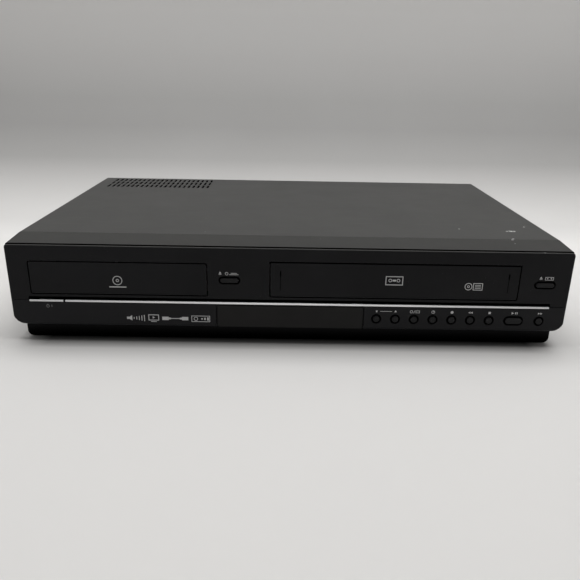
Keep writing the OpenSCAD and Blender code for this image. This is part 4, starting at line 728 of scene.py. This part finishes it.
# x, y, z of each fleck, slope of what it lies on, its radius, stretch and turn
FLECKS = [
    (181.0, -86.9, 80.02, COVER, 1.6, 0.70, 6), (184.2, -86.3, 80.02, COVER, 2.0, 0.85, -4),
    (187.0, -86.9, 80.02, COVER, 1.4, 0.85, 12), (177.4, -111.2, 80.02, COVER, 1.5, 0.60, 8),
    (176.2, -114.0, 79.95, SHELF, 1.0, 0.6, -8), (201.0, -71.0, 80.02, COVER, 1.0, 0.8, 30),
    (142.2, -81.5, 80.02, COVER, 1.0, 0.7, 0), (175.1, -122.9, 79.47, SHELF, 0.6, 0.7, -8),
    (190.6, -143.1, 78.09, EDGE, 1.1, 0.40, 0), (192.2, -143.2, 78.05, EDGE, 0.9, 0.40, 0),
    (-69.0, -104.0, 80.02, COVER, 0.35, 0.8, 0), (23.0, -119.0, 79.68, SHELF, 0.35, 0.8, 0),
]


def paint_chips():
    """Small bare flecks on the shelf and the cover, and a nick on the front edge."""
    random.seed(7)
    bm = bmesh.new()
    for x, y, z, slope, r, stretch, turn in FLECKS:
        made = bmesh.ops.create_circle(bm, cap_ends=True, segments=11, radius=1)
        for v in made["verts"]:
            v.co *= random.uniform(0.55, 1.1)
        place = (Matrix.Translation((x * MM, y * MM, z * MM)) @ Matrix.Rotation(slope, 4, "X")
                 @ Matrix.Rotation(math.radians(turn), 4, "Z")
                 @ Matrix.Diagonal((r * MM, r * stretch * MM, 1, 1)))
        bmesh.ops.transform(bm, matrix=place, verts=made["verts"])
    extrude_out(bm, (0, 0, 0.00003))
    add_piece("paint_chips", bm, "ink_white", "cabinet")


# ---- room ----

def backdrop_paint():
    """Pale and a little uneven, with painted light and shade: a floor paler towards the back and a darker
    band across the wall.
    """
    t = Tree("backdrop")
    x, y, z = t.axes()
    floor = t.ramp(t.rise(y, -0.2, 0.26), [(0.0, 0.70), (0.32, 0.72), (0.79, 0.80), (1.0, 0.68)])
    wall = t.ramp(t.rise(z, 0.0, 0.40), [
        (0.0, 0.68), (0.033, 0.61), (0.152, 0.38), (0.27, 0.333), (0.38, 0.367), (0.54, 0.48), (0.74, 0.66),
        (1.0, 0.70),
    ])
    base = t.mix(t.rise(z, 0.0, 0.001), floor, wall)
    base = t.mix(t.span(t.noise(3, 2), 0.3, 0.7, 0, 0.08), base, (0.60, 0.60, 0.60))
    # Painted shadow: the soft contact shadow where the skirt meets the floor, and the shadowed floor under
    # the player
    under_front = t.span(y, FRONT_Y - 0.0115, FRONT_Y + 0.009, 0, 0.94)
    under_rear = t.fall(y, REAR_OUTER_Y - 0.01525, REAR_OUTER_Y - 0.00525)
    between_sides = t.fall(t.math("ABSOLUTE", x), SIDE_X - 0.025, SIDE_X - 0.008)
    painted_contact_shadow = t.every(under_front, under_rear, between_sides)
    t.colour(t.mix(painted_contact_shadow, base, (0.004, 0.004, 0.004)))
    t.roughness(t.span(t.noise(50, 2), 0.3, 0.7, 0.7, 0.8))
    t.plain(0.0, 0.2)
    # The wall has no back, so it hides nothing from a camera behind it
    clear = t.add("ShaderNodeMixShader", {
        0: t.nodes.new("ShaderNodeNewGeometry").outputs["Backfacing"],
        1: t.bsdf.outputs[0],
        2: t.nodes.new("ShaderNodeBsdfTransparent").outputs[0],
    })
    t.link(clear.outputs[0], t.nodes["Material Output"].inputs["Surface"])
    return t.mat


def add_backdrop():
    """Floor, sweep and wall as one profile drawn out to the sides."""
    reach, floor_end, bend, wall_top, steps = 3.0, 0.26, 0.30, 2.6, 24
    profile = [(-reach, 0.0), (floor_end, 0.0)]
    for k in range(1, steps + 1):
        a = math.pi / 2 * k / steps
        profile.append((floor_end + bend * math.sin(a), bend * (1 - math.cos(a))))
    profile.append((floor_end + bend, wall_top))
    bm = bmesh.new()
    verts = [bm.verts.new((-reach, y, z)) for y, z in profile]
    edges = [bm.edges.new(pair) for pair in zip(verts, verts[1:])]
    made = bmesh.ops.extrude_edge_only(bm, edges=edges)
    moved = [g for g in made["geom"] if isinstance(g, bmesh.types.BMVert)]
    bmesh.ops.translate(bm, vec=(2 * reach, 0, 0), verts=moved)
    bmesh.ops.recalc_face_normals(bm, faces=bm.faces[:])
    # The floor looks up
    bm.faces.ensure_lookup_table()
    if bm.faces[0].normal.z < 0:
        bmesh.ops.reverse_faces(bm, faces=bm.faces[:])
    obj = add_mesh("backdrop", bm, backdrop_paint())
    obj.data.shade_smooth()


def add_light(name, place, target, size, power):
    data = bpy.data.lights.new(name, "AREA")
    data.shape = "RECTANGLE"
    data.size, data.size_y = size
    data.energy = power
    lamp = add(name, data)
    lamp.location = place
    lamp.rotation_euler = (Vector(target) - Vector(place)).to_track_quat("-Z", "Y").to_euler()


def add_lights():
    scene = bpy.context.scene
    scene.view_settings.view_transform = "Standard"
    add_light("top_light", (0.03, 0.26, 1.5), (0, 0.1, 0), (2.0, 1.4), 35.5)
    add_light("front_light", (0.2, -1.8, 1.3), (0, 0, 0.05), (1.6, 0.9), 2)
    # The room is dim, but a camera that looks past the floor sees it pale, and so do metal and glass
    dim, pale = 0.12, 0.5
    scene.world = bpy.data.worlds.new("world")
    scene.world.use_nodes = True
    room = Nodes(scene.world.node_tree)
    ray = room.nodes.new("ShaderNodeLightPath").outputs
    seen = room.either(room.either(ray["Is Camera Ray"], ray["Is Glossy Ray"]), ray["Is Transmission Ray"])
    background = room.nodes["Background"].inputs
    background["Color"].default_value = (1, 1, 1, 1)
    room.link(room.span(seen, 0, 1, dim, pale), background["Strength"])


add_camera()
add_backdrop()
add_lights()
key_marks()
key_hole_shade()
power_mark()
disc_mark()
cassette_mark()
drum_mark()
feature_marks()
socket_rings()
paint_chips()
